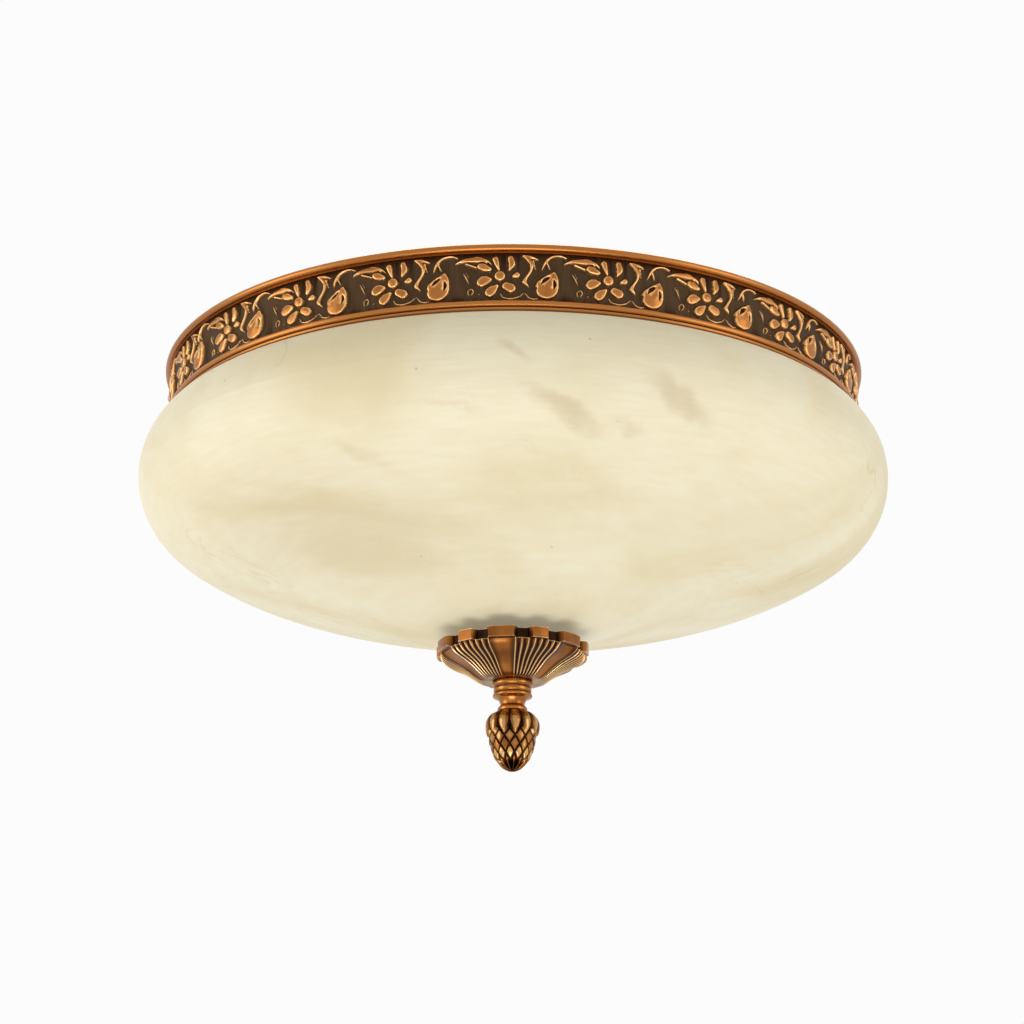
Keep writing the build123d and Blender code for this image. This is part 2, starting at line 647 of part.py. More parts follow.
def bulb_globe(frame):
    """Thin frosted glass: a hollow-sided neck that opens into a ball."""
    reach = GLOBE_LENGTH - GLOBE_RADIUS
    flare = (GLOBE_NECK_RADIUS**2 + reach**2 - GLOBE_RADIUS**2) / (GLOBE_RADIUS - GLOBE_NECK_RADIUS) / 2
    meeting = math.atan2(reach, GLOBE_NECK_RADIUS + flare)

    def outside(inset):
        neck = JernArc((GLOBE_NECK_RADIUS - inset, CAP_END), (0, 1), flare + inset, -math.degrees(meeting))
        ball = JernArc(neck @ 1, neck % 1, GLOBE_RADIUS - inset, 90 + math.degrees(meeting))
        close = Polyline(ball @ 1, (0, CAP_END), neck @ 0)
        return revolve(Plane.XZ * make_face(neck + ball + close), Axis.Z)

    return frame * (outside(0) - outside(GLOBE_WALL))


# ================================================================ wiring in the pan
def terminal_block():
    """Three-pole block on the pan's floor, with a wire way and two screw wells for each pole."""
    half, top_half = BLOCK_WIDTH / 2, BLOCK_TOP_WIDTH / 2
    profile = Polyline(
        [
            Vector(0, y, z)
            for y, z in (
                (-half, 0),
                (half, 0),
                (half, BLOCK_SHOULDER),
                (top_half, BLOCK_HEIGHT),
                (-top_half, BLOCK_HEIGHT),
                (-half, BLOCK_SHOULDER),
            )
        ],
        close=True,
    )
    block = extrude(make_face(profile), BLOCK_LENGTH / 2, both=True)
    well_radius = TERMINAL_SCREW_RADIUS + SLIP_GAP
    well = Cylinder(well_radius, BLOCK_HEIGHT - WIRE_WAY_HEIGHT, align=FROM_FOOT)
    for pole in (-1, 0, 1):
        block -= Pos(pole * POLE_SPACING, 0, WIRE_WAY_HEIGHT) * (
            Rot(90, 0, 0) * Cylinder(WIRE_WAY_RADIUS, BLOCK_WIDTH * 2)
        )
        for side in (-1, 1):
            block -= Pos(pole * POLE_SPACING, side * TERMINAL_SCREW_SPREAD, WIRE_WAY_HEIGHT) * well
    return Pos(0, BLOCK_DISTANCE, PAN_FLOOR) * block


def terminal_screws():
    """Small clamp screws in the block's wells, down on the wires."""
    bottom = PAN_FLOOR + WIRE_WAY_HEIGHT + LEAD_RADIUS + SLIP_GAP
    screw = Cylinder(TERMINAL_SCREW_RADIUS, TERMINAL_SCREW_LENGTH, align=FROM_FOOT)
    return [
        Pos(pole * POLE_SPACING, BLOCK_DISTANCE + side * TERMINAL_SCREW_SPREAD, bottom) * screw
        for pole in (-1, 0, 1)
        for side in (-1, 1)
    ]


def supply_lead(side):
    """Lead from the block, over the stem's end and down inside the stem."""
    wire_z = PAN_FLOOR + WIRE_WAY_HEIGHT
    pole_x = side * POLE_SPACING
    block_face = BLOCK_DISTANCE - BLOCK_WIDTH / 2
    points = [
        (side * LEAD_SPREAD, 0, LAMP_AXIS_Z),
        (side * LEAD_SPREAD, 0, LEAD_TOP),
        (pole_x, block_face - 19, LEAD_TOP),
        (pole_x, block_face - 12, wire_z),
        (pole_x, BLOCK_DISTANCE + WIRE_WAY_RADIUS, wire_z),
    ]
    return lead(points, [3.5, 5.0, 5.0])


def earth_lead():
    """Lug under the earth screw and the lead from it to the block's middle pole."""
    wire_z = PAN_FLOOR + WIRE_WAY_HEIGHT
    block_face = BLOCK_DISTANCE - BLOCK_WIDTH / 2
    lug_z = STRAP_FLOOR + LUG_THICKNESS / 2
    start_z = STRAP_FLOOR + LEAD_RADIUS + SLIP_GAP
    points = [
        (EARTH_SCREW_X, EARTH_SCREW_HEAD_RADIUS + SLIP_GAP, start_z),
        (EARTH_SCREW_X, block_face - 21, start_z),
        (0, block_face - 9, wire_z),
        (0, BLOCK_DISTANCE + WIRE_WAY_RADIUS, wire_z),
    ]
    lug = Pos(EARTH_SCREW_X, 0, lug_z) * (
        Cylinder(LUG_RADIUS, LUG_THICKNESS) - Cylinder(EARTH_SCREW_RADIUS + RUNNING_GAP, LUG_THICKNESS)
    )
    tongue = Pos(EARTH_SCREW_X, LUG_RADIUS, lug_z) * Box(LEAD_RADIUS * 2, LUG_RADIUS, LUG_THICKNESS)
    hole = Pos(EARTH_SCREW_X, 0, lug_z) * Cylinder(EARTH_SCREW_RADIUS + RUNNING_GAP, LUG_THICKNESS * 2)
    return (lug + tongue + lead(points, [5.0, 5.0])) - hole


# ================================================================ alabaster bowl
def bowl_section(inset):
    """Closed half section from the bowl's rim to the axis, drawn in from the outside by the inset."""
    rim = BOWL_RIM_RADIUS - inset
    width = BOWL_SHOULDER_WIDTH
    height = BOWL_SHOULDER_HEIGHT
    half = math.sin(math.radians(45))
    tight = (width * half - height * (1 - half)) / (2 * half - 1)
    wide = (height * half - width * (1 - half)) / (2 * half - 1)
    lip = JernArc((rim, BOWL_RIM_Z), (1, 0), tight, -45)
    shoulder = JernArc(lip @ 1, lip % 1, wide, -45)
    belly = JernArc(shoulder @ 1, (0, -1), BOWL_BELLY_RADIUS - inset, -BOWL_BELLY_TURN)
    under = JernArc(belly @ 1, belly % 1, BOWL_UNDERSIDE_RADIUS - inset, -BOWL_UNDERSIDE_TURN)
    foot = (0, foot_slope_height(0, inset))
    close = Polyline(under @ 1, foot, (0, BOWL_RIM_Z), (rim, BOWL_RIM_Z))
    return Plane.XZ * make_face(lip + shoulder + belly + under + close)


def alabaster_bowl():
    """Turned stone bowl: rounded shoulder, long shallow underside, flat foot with the stem's hole."""
    outside = revolve(bowl_section(0), Axis.Z)
    inside = revolve(bowl_section(BOWL_WALL), Axis.Z)
    floor = BOWL_FLOOR_Z - foot_slope_height(0)
    inside -= ring(0, BOWL_RADIUS, BOWL_FLOOR_Z - floor, BOWL_FLOOR_Z)
    spot_face = GROMMET_FLANGE_RADIUS + SLIP_GAP
    bowl = outside - inside
    bowl -= ring(0, BOWL_RADIUS, foot_slope_height(0), BOWL_FOOT_Z)
    bowl -= ring(0, spot_face, BOWL_FLOOR_Z, BOWL_FLOOR_Z + GROMMET_FLANGE_THICKNESS)
    return bowl - ring(0, BOWL_HOLE_RADIUS, BOWL_FOOT_Z, BOWL_FLOOR_Z)


def bowl_grommet():
    """Rubber bush that keeps the stem off the stone, with a flange inside the bowl."""
    bore = STEM_RADIUS + GROMMET_GAP
    outer = bore + GROMMET_WALL
    flange_top = BOWL_FLOOR_Z + GROMMET_FLANGE_THICKNESS
    return turned_outline(
        [
            (bore, BOWL_FOOT_Z),
            (outer, BOWL_FOOT_Z),
            (outer, BOWL_FLOOR_Z),
            (GROMMET_FLANGE_RADIUS, BOWL_FLOOR_Z),
            (GROMMET_FLANGE_RADIUS, flange_top),
            (bore, flange_top),
        ]
    )


def foot_gasket():
    """Rubber washer between the bowl's foot and the cup's seat."""
    return ring(GASKET_BORE_RADIUS, GASKET_RADIUS, BOWL_FOOT_Z - GASKET_THICKNESS, BOWL_FOOT_Z)


# ================================================================ fluted cup
def polar(radius, degrees, height):
    """Point at a radius and an angle round the axis."""
    turn = math.radians(degrees)
    return Vector(radius * math.cos(turn), radius * math.sin(turn), height)


def flute_angles():
    """Angles of the ribs round the cup, and for each flute after a rib whether it is a wide one."""
    period = 360 / CUP_REPEATS
    narrow = (period - CUP_WIDE_FLUTE) / CUP_RIBS
    flutes = []
    for repeat in range(CUP_REPEATS):
        start = repeat * period - CUP_WIDE_FLUTE / 2
        flutes.append((start, CUP_WIDE_FLUTE, True))
        for rib in range(CUP_RIBS):
            flutes.append((start + CUP_WIDE_FLUTE + rib * narrow, narrow, False))
    return flutes


def fluted_outline(radius, height):
    """Outline of the cup at one height: ribs at the radius, joined by hollow arcs."""
    arcs = []
    for start, width, wide in flute_angles():
        share = CUP_WIDE_FLUTE_DEPTH if wide else CUP_FLUTE_DEPTH
        hollow = radius * (1 - math.radians(width) * share)
        arcs.append(
            ThreePointArc(
                polar(radius, start, height),
                polar(hollow, start + width / 2, height),
                polar(radius, start + width, height),
            )
        )
    return Wire([a.edge() for a in arcs])


def lobed_rim():
    """Thick upright lobes, wide and narrow in turn, with hollow recesses between them."""
    edges = []
    period = 360 / CUP_REPEATS
    floor = CUP_RADIUS - CUP_RECESS

    def foot(radius, degrees):
        return polar(radius, degrees, CUP_LOBE_FOOT)

    for repeat in range(CUP_REPEATS):
        lobes = (
            (repeat * period, CUP_WIDE_LOBE, CUP_NARROW_LOBE),
            ((repeat + 0.5) * period, CUP_NARROW_LOBE, CUP_WIDE_LOBE),
        )
        for centre, width, next_width in lobes:
            left, right = centre - width / 2, centre + width / 2
            next_left = centre + period / 2 - next_width / 2
            top = foot(CUP_RADIUS, left), foot(CUP_RADIUS, centre), foot(CUP_RADIUS, right)
            recess = (
                foot(floor, right + CUP_LOBE_FLANK),
                foot(floor - CUP_RECESS_HOLLOW, (right + next_left) / 2),
                foot(floor, next_left - CUP_LOBE_FLANK),
            )
            edges += [
                ThreePointArc(*top),
                Line(top[-1], recess[0]),
                ThreePointArc(*recess),
                Line(recess[-1], foot(CUP_RADIUS, next_left)),
            ]
    outline = Wire([e.edge() for e in edges])
    return extrude(Face(outline), CUP_LOBE_HEIGHT, dir=(0, 0, 1))


def fluted_cup():
    """Cast cup: lobed rim, fluted underside, and inside it a hub and a seat for the gasket."""
    underside = [(CUP_RADIUS - inset, CUP_LOBE_FOOT - drop) for inset, drop in CUP_UNDERSIDE]
    body = Solid.make_loft([fluted_outline(radius, height) for radius, height in underside])
    seat_outer = GASKET_RADIUS + SLIP_GAP
    seat_foot = underside[3][1]
    cup = body + lobed_rim() + ring(0, seat_outer, seat_foot, CUP_SEAT_Z)
    mouth = CUP_RADIUS - CUP_RIM_WALL
    slope = [(radius - CUP_WALL_LEAN, height + CUP_WALL) for radius, height in underside[2:5]]
    pocket = [(seat_outer, CUP_SEAT_Z), (mouth, CUP_SEAT_Z), (mouth, CUP_LOBE_FOOT)]
    pocket += [p for p in slope if seat_outer < p[0] < mouth]
    pocket += [(seat_outer, slope[-1][1])]
    cup -= turned_outline(pocket)
    seat_inner = seat_outer - CUP_SEAT_WIDTH
    well_floor = CUP_BOTTOM + CUP_WALL
    cup -= ring(CUP_HUB_RADIUS, seat_inner, well_floor, CUP_SEAT_Z)
    cup -= ring(0, CUP_HUB_RADIUS, CUP_BOTTOM + CUP_FLOOR_WALL, CUP_SEAT_Z)
    cup -= ring(0, STEM_RADIUS + SLIP_GAP, CUP_BOTTOM, CUP_SEAT_Z)
    return Rot(0, 0, CUP_TURN) * cup


# ================================================================ finial
def finial_collar():
    """Turned collar of three rings, a hollow neck and a bead, bored for the stem."""
    z = COLLAR_TOP
    points = [at(THREAD_BORE, z)]
    section = Curve()
    for crest, edge, top, foot in COLLAR_RINGS:
        upper, lower = at(edge, z - top), at(edge, z - foot)
        section += Line(points[-1], upper)
        section += ThreePointArc(upper, at(crest, z - (top + foot) / 2), lower)
        points.append(lower)
    neck_top = at(NECK_TOP_RADIUS, z - NECK_TOP_DEPTH)
    neck_middle = at(NECK_MIDDLE_RADIUS, z - NECK_MIDDLE_DEPTH)
    neck_foot = at(NECK_RADIUS, z - NECK_FOOT_DEPTH)
    section += Line(points[-1], neck_top)
    section += ThreePointArc(neck_top, neck_middle, neck_foot)
    bead_edge = NECK_BEAD_RADIUS - NECK_BEAD_FULLNESS
    bead_top = at(bead_edge, z - NECK_BEAD_DEPTH)
    bead_foot = at(bead_edge, z - COLLAR_HEIGHT)
    section += Line(neck_foot, bead_top)
    section += ThreePointArc(bead_top, at(NECK_BEAD_RADIUS, (bead_top.Z + bead_foot.Z) / 2), bead_foot)
    section += Polyline(bead_foot, at(THREAD_BORE, z - COLLAR_HEIGHT), at(THREAD_BORE, z))
    return turned(section)


def finial_acorn():
    """Acorn with a leafy upper part, a waist and a pointed lower part, bored for the stem's end."""
    z = ACORN_TOP
    half = math.sin(math.radians(45))
    quarter = math.radians(22.5)
    neck = at(NECK_BEAD_RADIUS - NECK_BEAD_FULLNESS, z)
    inset = ACORN_SHOULDER_RADIUS * (1 - half)
    shoulder = at(ACORN_RADIUS - inset, z - inset)
    widest = at(ACORN_RADIUS, z - ACORN_SHOULDER_RADIUS)
    waist = at(ACORN_WAIST_RADIUS, z - ACORN_LEAF_HEIGHT)
    leaf_edge = at(ACORN_LEAF_EDGE_RADIUS, waist.Z + ACORN_LEAF_EDGE)
    leaf_side = at(ACORN_RADIUS, (widest.Z + leaf_edge.Z) / 2)
    tip = at(0, z - ACORN_HEIGHT)
    tip_side = at(ACORN_TIP_RADIUS * half, tip.Z + ACORN_TIP_RADIUS * (1 - half))
    tip_middle = at(
        ACORN_TIP_RADIUS * math.sin(quarter),
        tip.Z + ACORN_TIP_RADIUS * (1 - math.cos(quarter)),
    )
    flank = at(ACORN_FLANK_RADIUS, tip_side.Z + ACORN_FLANK_RADIUS - tip_side.X)
    swell = at(ACORN_SWELL_RADIUS, (waist.Z + flank.Z) / 2)
    section = (
        Polyline(at(0, z), neck)
        + ThreePointArc(neck, shoulder, widest)
        + ThreePointArc(widest, leaf_side, leaf_edge)
        + Line(leaf_edge, waist)
        + ThreePointArc(waist, swell, flank)
        + Line(flank, tip_side)
        + ThreePointArc(tip_side, tip_middle, tip)
        + Line(tip, at(0, z))
    )
    return turned(section) - ring(0, THREAD_BORE, FINIAL_BORE_END, z)


# ================================================================ the pieces, by name
def pieces():
    """Every piece of the light: its name, and its solid or its group of like solids."""
    named = {
        "crossbar": crossbar(),
        "earth_screw": earth_screw(),
        "ceiling_pan": ceiling_pan(),
        "pan_washer": pan_washer(),
        "stem": stem(),
        "stem_nuts": stem_nuts(),
        "stem_lock_washers": stem_lock_washers(),
        "cluster_body": cluster_body(),
        "cluster_lid": cluster_lid(),
        "holder_nipples": holder_nipples(),
        "nipple_nuts": nipple_nuts(),
        "holder_leads": holder_leads(),
        "terminal_block": terminal_block(),
        "terminal_screws": terminal_screws(),
        "live_lead": supply_lead(-1),
        "neutral_lead": supply_lead(1),
        "earth_lead": earth_lead(),
        "upper_moulding": upper_moulding(),
        "gallery_frieze": gallery_frieze(),
        "lower_moulding": lower_moulding(),
        "band_screws": band_screws(),
        "rim_felt": rim_felt(),
        "alabaster_bowl": alabaster_bowl(),
        "bowl_grommet": bowl_grommet(),
        "foot_gasket": foot_gasket(),
        "fluted_cup": fluted_cup(),
        "finial_collar": finial_collar(),
        "finial_acorn": finial_acorn(),
    }
    for index in range(LAMP_COUNT):
        frame = lamp_frame(index)
        number = index + 1
        named[f"lampholder_shell_{number}"] = lampholder_shell(frame)
        named[f"lampholder_insert_{number}"] = lampholder_insert(frame)
        named[f"screw_sleeve_{number}"] = screw_sleeve(frame)
        named[f"bulb_cap_{number}"] = bulb_cap(frame)
        named[f"bulb_globe_{number}"] = bulb_globe(frame)
    return named


os.makedirs("parts", exist_ok=True)
for name, shape in pieces().items():
    solids = []
    for one in shape if isinstance(shape, list) else [shape]:
        solids += one.solids()
    kept = solids[0] if len(solids) == 1 else Compound(solids)
    export_step(kept, os.path.join("parts", name + ".step"))
    print(name, len(solids), round(sum(s.volume for s in solids)))
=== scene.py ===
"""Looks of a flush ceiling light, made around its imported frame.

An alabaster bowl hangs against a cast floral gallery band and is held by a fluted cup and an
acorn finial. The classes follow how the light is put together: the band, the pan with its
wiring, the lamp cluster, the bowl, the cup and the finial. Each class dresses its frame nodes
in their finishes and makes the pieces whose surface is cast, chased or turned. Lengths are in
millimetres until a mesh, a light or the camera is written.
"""
import logging
import math
from abc import ABC, abstractmethod
from collections.abc import Sequence
from dataclasses import dataclass, field, replace
from enum import Enum
from functools import cache
from typing import Any

import bpy
import numpy as np
from mathutils import Matrix, Vector


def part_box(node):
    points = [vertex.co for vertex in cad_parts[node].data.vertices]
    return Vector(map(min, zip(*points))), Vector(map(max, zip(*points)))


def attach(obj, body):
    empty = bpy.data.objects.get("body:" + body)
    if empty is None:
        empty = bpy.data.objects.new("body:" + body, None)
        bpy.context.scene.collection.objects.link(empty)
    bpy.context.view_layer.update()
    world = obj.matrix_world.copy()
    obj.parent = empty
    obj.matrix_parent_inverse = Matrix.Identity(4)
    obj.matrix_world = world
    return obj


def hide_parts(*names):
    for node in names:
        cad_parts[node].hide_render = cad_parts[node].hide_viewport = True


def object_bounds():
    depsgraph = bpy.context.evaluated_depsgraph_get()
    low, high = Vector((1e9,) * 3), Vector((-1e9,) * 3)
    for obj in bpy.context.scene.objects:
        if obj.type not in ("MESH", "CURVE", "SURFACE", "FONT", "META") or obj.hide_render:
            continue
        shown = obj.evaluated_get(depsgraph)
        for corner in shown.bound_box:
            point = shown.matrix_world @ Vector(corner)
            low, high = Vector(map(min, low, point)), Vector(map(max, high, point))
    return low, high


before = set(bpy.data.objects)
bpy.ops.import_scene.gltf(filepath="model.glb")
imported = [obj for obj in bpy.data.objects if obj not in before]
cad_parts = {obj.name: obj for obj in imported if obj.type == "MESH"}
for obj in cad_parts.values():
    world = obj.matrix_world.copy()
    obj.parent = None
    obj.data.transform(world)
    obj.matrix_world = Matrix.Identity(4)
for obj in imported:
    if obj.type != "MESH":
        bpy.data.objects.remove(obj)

MM = 0.001
FULL_TURN = 2 * math.pi
BACKGROUND = "#fcfcfc"  # the colour seen behind the light
RELIEF = "relief"       # mesh attribute: 0 in the ground or a hollow, 1 on the crest
EDGE = "edge"           # mesh attribute: 1 where handling rubs the patina off
BEAD_POINTS = 13        # points down the side of one turned bead
CAD_BOX = [list(corner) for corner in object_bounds()]

log = logging.getLogger("ceiling_light")

Grid = np.ndarray
Node = bpy.types.Node
Piece = bpy.types.Object
Socket = bpy.types.NodeSocket
Tree = bpy.types.NodeTree


# ------------------------------------------------------------------ small helpers
def linear(colour: str) -> tuple[float, float, float, float]:
    """Turns an sRGB hex colour into the linear colour that a shader takes.

    Args:
        colour: the colour as "#rrggbb".

    Returns:
        Linear red, green and blue, and an alpha of 1.
    """
    shares = [int(colour[start:start + 2], 16) / 255 for start in (1, 3, 5)]
    red, green, blue = (
        s / 12.92 if s <= 0.04045 else ((s + 0.055) / 1.055) ** 2.4 for s in shares
    )
    return red, green, blue, 1.0


def add_node(tree: Tree, kind: str, inputs: dict[str | int, Any] | None = None, **settings: Any) -> Node:
    """Adds one node with its settings, its values and its links.

    Args:
        tree: the node tree it goes into.
        kind: Blender's name of the node type.
        inputs: for each input, by name or number, a value or the output it is linked to.
        **settings: the node's own properties.

    Returns:
        The new node.
    """
    node = tree.nodes.new(kind)
    for key, value in settings.items():
        setattr(node, key, value)
    for key, value in (inputs or {}).items():
        if isinstance(value, Socket):
            tree.links.new(value, node.inputs[key])
        else:
            node.inputs[key].default_value = value
    return node


def smoothstep(value: Grid, start: float, end: float) -> Grid:
    """Rises smoothly from 0 at start to 1 at end.

    Args:
        value: where to work it out.
        start: the value that gives 0.
        end: the value that gives 1.

    Returns:
        The share for each value.
    """
    share = np.clip((value - start) / (end - start), 0, 1)
    return share * share * (3 - 2 * share)


def grid_faces(rows: int, columns: int, closed_rows: bool = False) -> Grid:
    """Quads of a grid whose last column meets its first one.

    Args:
        rows: number of rows, each a ring of points.
        columns: number of points in a row.
        closed_rows: whether the last row meets the first one too.

    Returns:
        Four point numbers for each quad.
    """
    row = np.arange(rows if closed_rows else rows - 1)[:, None]
    column = np.arange(columns)[None, :]
    above, right = (row + 1) % rows, (column + 1) % columns
    corners = [
        row * columns + column,
        row * columns + right,
        above * columns + right,
        above * columns + column,
    ]
    return np.stack([np.broadcast_to(c, (len(row), columns)) for c in corners], -1).reshape(-1, 4)


def around(radius: Grid, angle: Grid, height: Grid | float) -> Grid:
    """Points round the light's axis.

    Args:
        radius: distance of each point from the axis.
        angle: direction of each point from +X, in radians.
        height: height of each point.

    Returns:
        An array of x, y and z, with the shape of the three together.
    """
    parts = np.broadcast_arrays(radius * np.cos(angle), radius * np.sin(angle), height)
    return np.stack(parts, -1)


def mesh_piece(name: str, points: Grid, faces: Sequence[Sequence[int]]) -> Piece:
    """Makes a smooth mesh object from points in millimetres.

    Args:
        name: the piece's name.
        points: one row of x, y and z for each point.
        faces: the point numbers of each face.

    Returns:
        The new object, linked to the scene.
    """
    mesh = bpy.data.meshes.new(name)
    mesh.from_pydata((np.asarray(points) * MM).tolist(), [], [list(map(int, f)) for f in faces])
    mesh.validate()
    mesh.update()
    mesh.shade_smooth()
    piece = bpy.data.objects.new(name, mesh)
    bpy.context.scene.collection.objects.link(piece)
    return piece


def set_attribute(piece: Piece, name: str, values: Grid) -> None:
    """Stores one number for each point of a mesh, under a name that a finish reads."""
    attribute = piece.data.attributes.new(name, "FLOAT", "POINT")
    attribute.data.foreach_set("value", np.asarray(values, np.float32).ravel())


def points_of(piece: Piece) -> Grid:
    """The piece's points in millimetres, one row each."""
    flat = np.zeros(len(piece.data.vertices) * 3, np.float32)
    piece.data.vertices.foreach_get("co", flat)
    return flat.reshape(-1, 3).astype(float) / MM


def outward(piece: Piece) -> None:
    """Turns a closed mesh's faces so that they all look outwards.

    Args:
        piece: the object whose mesh is turned.
    """
    mesh = piece.data
    corners = points_of(piece)
    triangles = np.zeros(len(mesh.loop_triangles) * 3, np.int32)
    mesh.loop_triangles.foreach_get("vertices", triangles)
    a, b, c = corners[triangles.reshape(-1, 3)].transpose(1, 0, 2)
    if np.einsum("ij,ij->i", a, np.cross(b, c)).sum() < 0:
        mesh.flip_normals()


def swelling(start: tuple[float, float], end: tuple[float, float], swell: float) -> Grid:
    """Points of a turned bead or hollow.

    Args:
        start: radius and depth of its upper edge.
        end: radius and depth of its lower edge.
        swell: how far its middle stands out, or in where it is below zero.

    Returns:
        One row of radius and depth for each point.
    """
    share = np.linspace(0, 1, BEAD_POINTS)[:, None]
    points = np.array(start) * (1 - share) + np.array(end) * share
    return points + np.array([[1.0, 0.0]]) * swell * 2 * np.sqrt(share * (1 - share))


@dataclass(frozen=True)
class Extent:
    """How far a frame node reaches, in millimetres.

    Attributes:
        radius: its greatest distance from the light's axis along X or Y.
        bottom: its lowest height.
        top: its highest height.
    """

    radius: float
    bottom: float
    top: float

    @classmethod
    def of(cls, node: str) -> "Extent":
        """Measures a frame node at rest.

        Args:
            node: the node's name.

        Returns:
            Its extent.
        """
        low, high = (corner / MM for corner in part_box(node))
        return cls(max(high.x, high.y, -low.x, -low.y), low.z, high.z)


# ------------------------------------------------------------------ shader nodes
MIX_SOCKETS = {"RGBA": (6, 7, 2), "FLOAT": (2, 3, 0)}  # a mix node's two inputs and its output


def noise(place: Socket, size_mm: float, detail: float = 3.0, folding: float = 0.0) -> Socket:
    """Soft random pattern, about 0.5 on average.

    Args:
        place: the coordinates.
        size_mm: size of one patch of the pattern.
        detail: how many finer layers it has.
        folding: how much it is folded into itself.

    Returns:
        The pattern.
    """
    values = {"Vector": place, "Scale": 1 / (size_mm * MM), "Detail": detail, "Distortion": folding}
    return add_node(place.id_data, "ShaderNodeTexNoise", values).outputs[0]


def share(value: Socket, start: float, end: float, low: float = 0.0, high: float = 1.0) -> Socket:
    """Turns a value smoothly into a share.

    Args:
        value: what is turned.
        start: the value that gives low.
        end: the value that gives high.
        low: the share at start.
        high: the share at end.

    Returns:
        The share, held between low and high.
    """
    values = {0: value, 1: start, 2: end, 3: low, 4: high}
    return add_node(value.id_data, "ShaderNodeMapRange", values, interpolation_type="SMOOTHSTEP").outputs[0]


def maths(operation: str, *values: Any, kind: str = "Math") -> Socket:
    """One sum on numbers or vectors.

    Args:
        operation: Blender's name of the sum.
        *values: outputs, at least one, and plain values.
        kind: Math for numbers and VectorMath for vectors.

    Returns:
        The result.
    """
    tree = next(v for v in values if isinstance(v, Socket)).id_data
    return add_node(tree, f"ShaderNode{kind}", dict(enumerate(values)), operation=operation).outputs[0]


def mix(amount: Socket, first: Socket | str, second: Socket | str, kind: str = "RGBA") -> Socket:
    """Mixes two colours or two numbers.

    Args:
        amount: 0 gives the first and 1 the second.
        first: an output, or a colour as hex.
        second: an output, or a colour as hex.
        kind: RGBA for colours and FLOAT for numbers.

    Returns:
        The mixed value.
    """
    first, second = (linear(value) if isinstance(value, str) else value for value in (first, second))
    a, b, result = MIX_SOCKETS[kind]
    values = {0: amount, a: first, b: second}
    return add_node(amount.id_data, "ShaderNodeMix", values, data_type=kind).outputs[result]


def round_axis(tree: Tree) -> tuple[Socket, Socket, Socket]:
    """Where a point lies round the light's axis.

    Args:
        tree: the material's node tree.

    Returns:
        Its radius and its height in metres, and its angle from +X in radians.
    """
    place = add_node(tree, "ShaderNodeTexCoord").outputs["Object"]
    x, y, z = add_node(tree, "ShaderNodeSeparateXYZ", {0: place}).outputs
    radius = maths("SQRT", maths("ADD", maths("MULTIPLY", x, x), maths("MULTIPLY", y, y)))
    return radius, z, maths("ARCTAN2", y, x)


def seen_ray(tree: Tree) -> Socket:
    """Tells the rays that show a background: the eye's, gloss's and glass's.

    Args:
        tree: the node tree of a material or the world.

    Returns:
        1 for such a ray, and 0 for one that only carries light.
    """
    path = add_node(tree, "ShaderNodeLightPath").outputs
    shown = maths("MAXIMUM", path["Is Camera Ray"], path["Is Glossy Ray"])
    return maths("MAXIMUM", shown, path["Is Transmission Ray"])


# ------------------------------------------------------------------ finishes
class Grain(Enum):
    """How the marks of making lie on a surface."""

    EVEN = "cast, moulded or pressed, the same every way"
    TURNED = "spun or turned on a lathe, in rings round the light's axis"


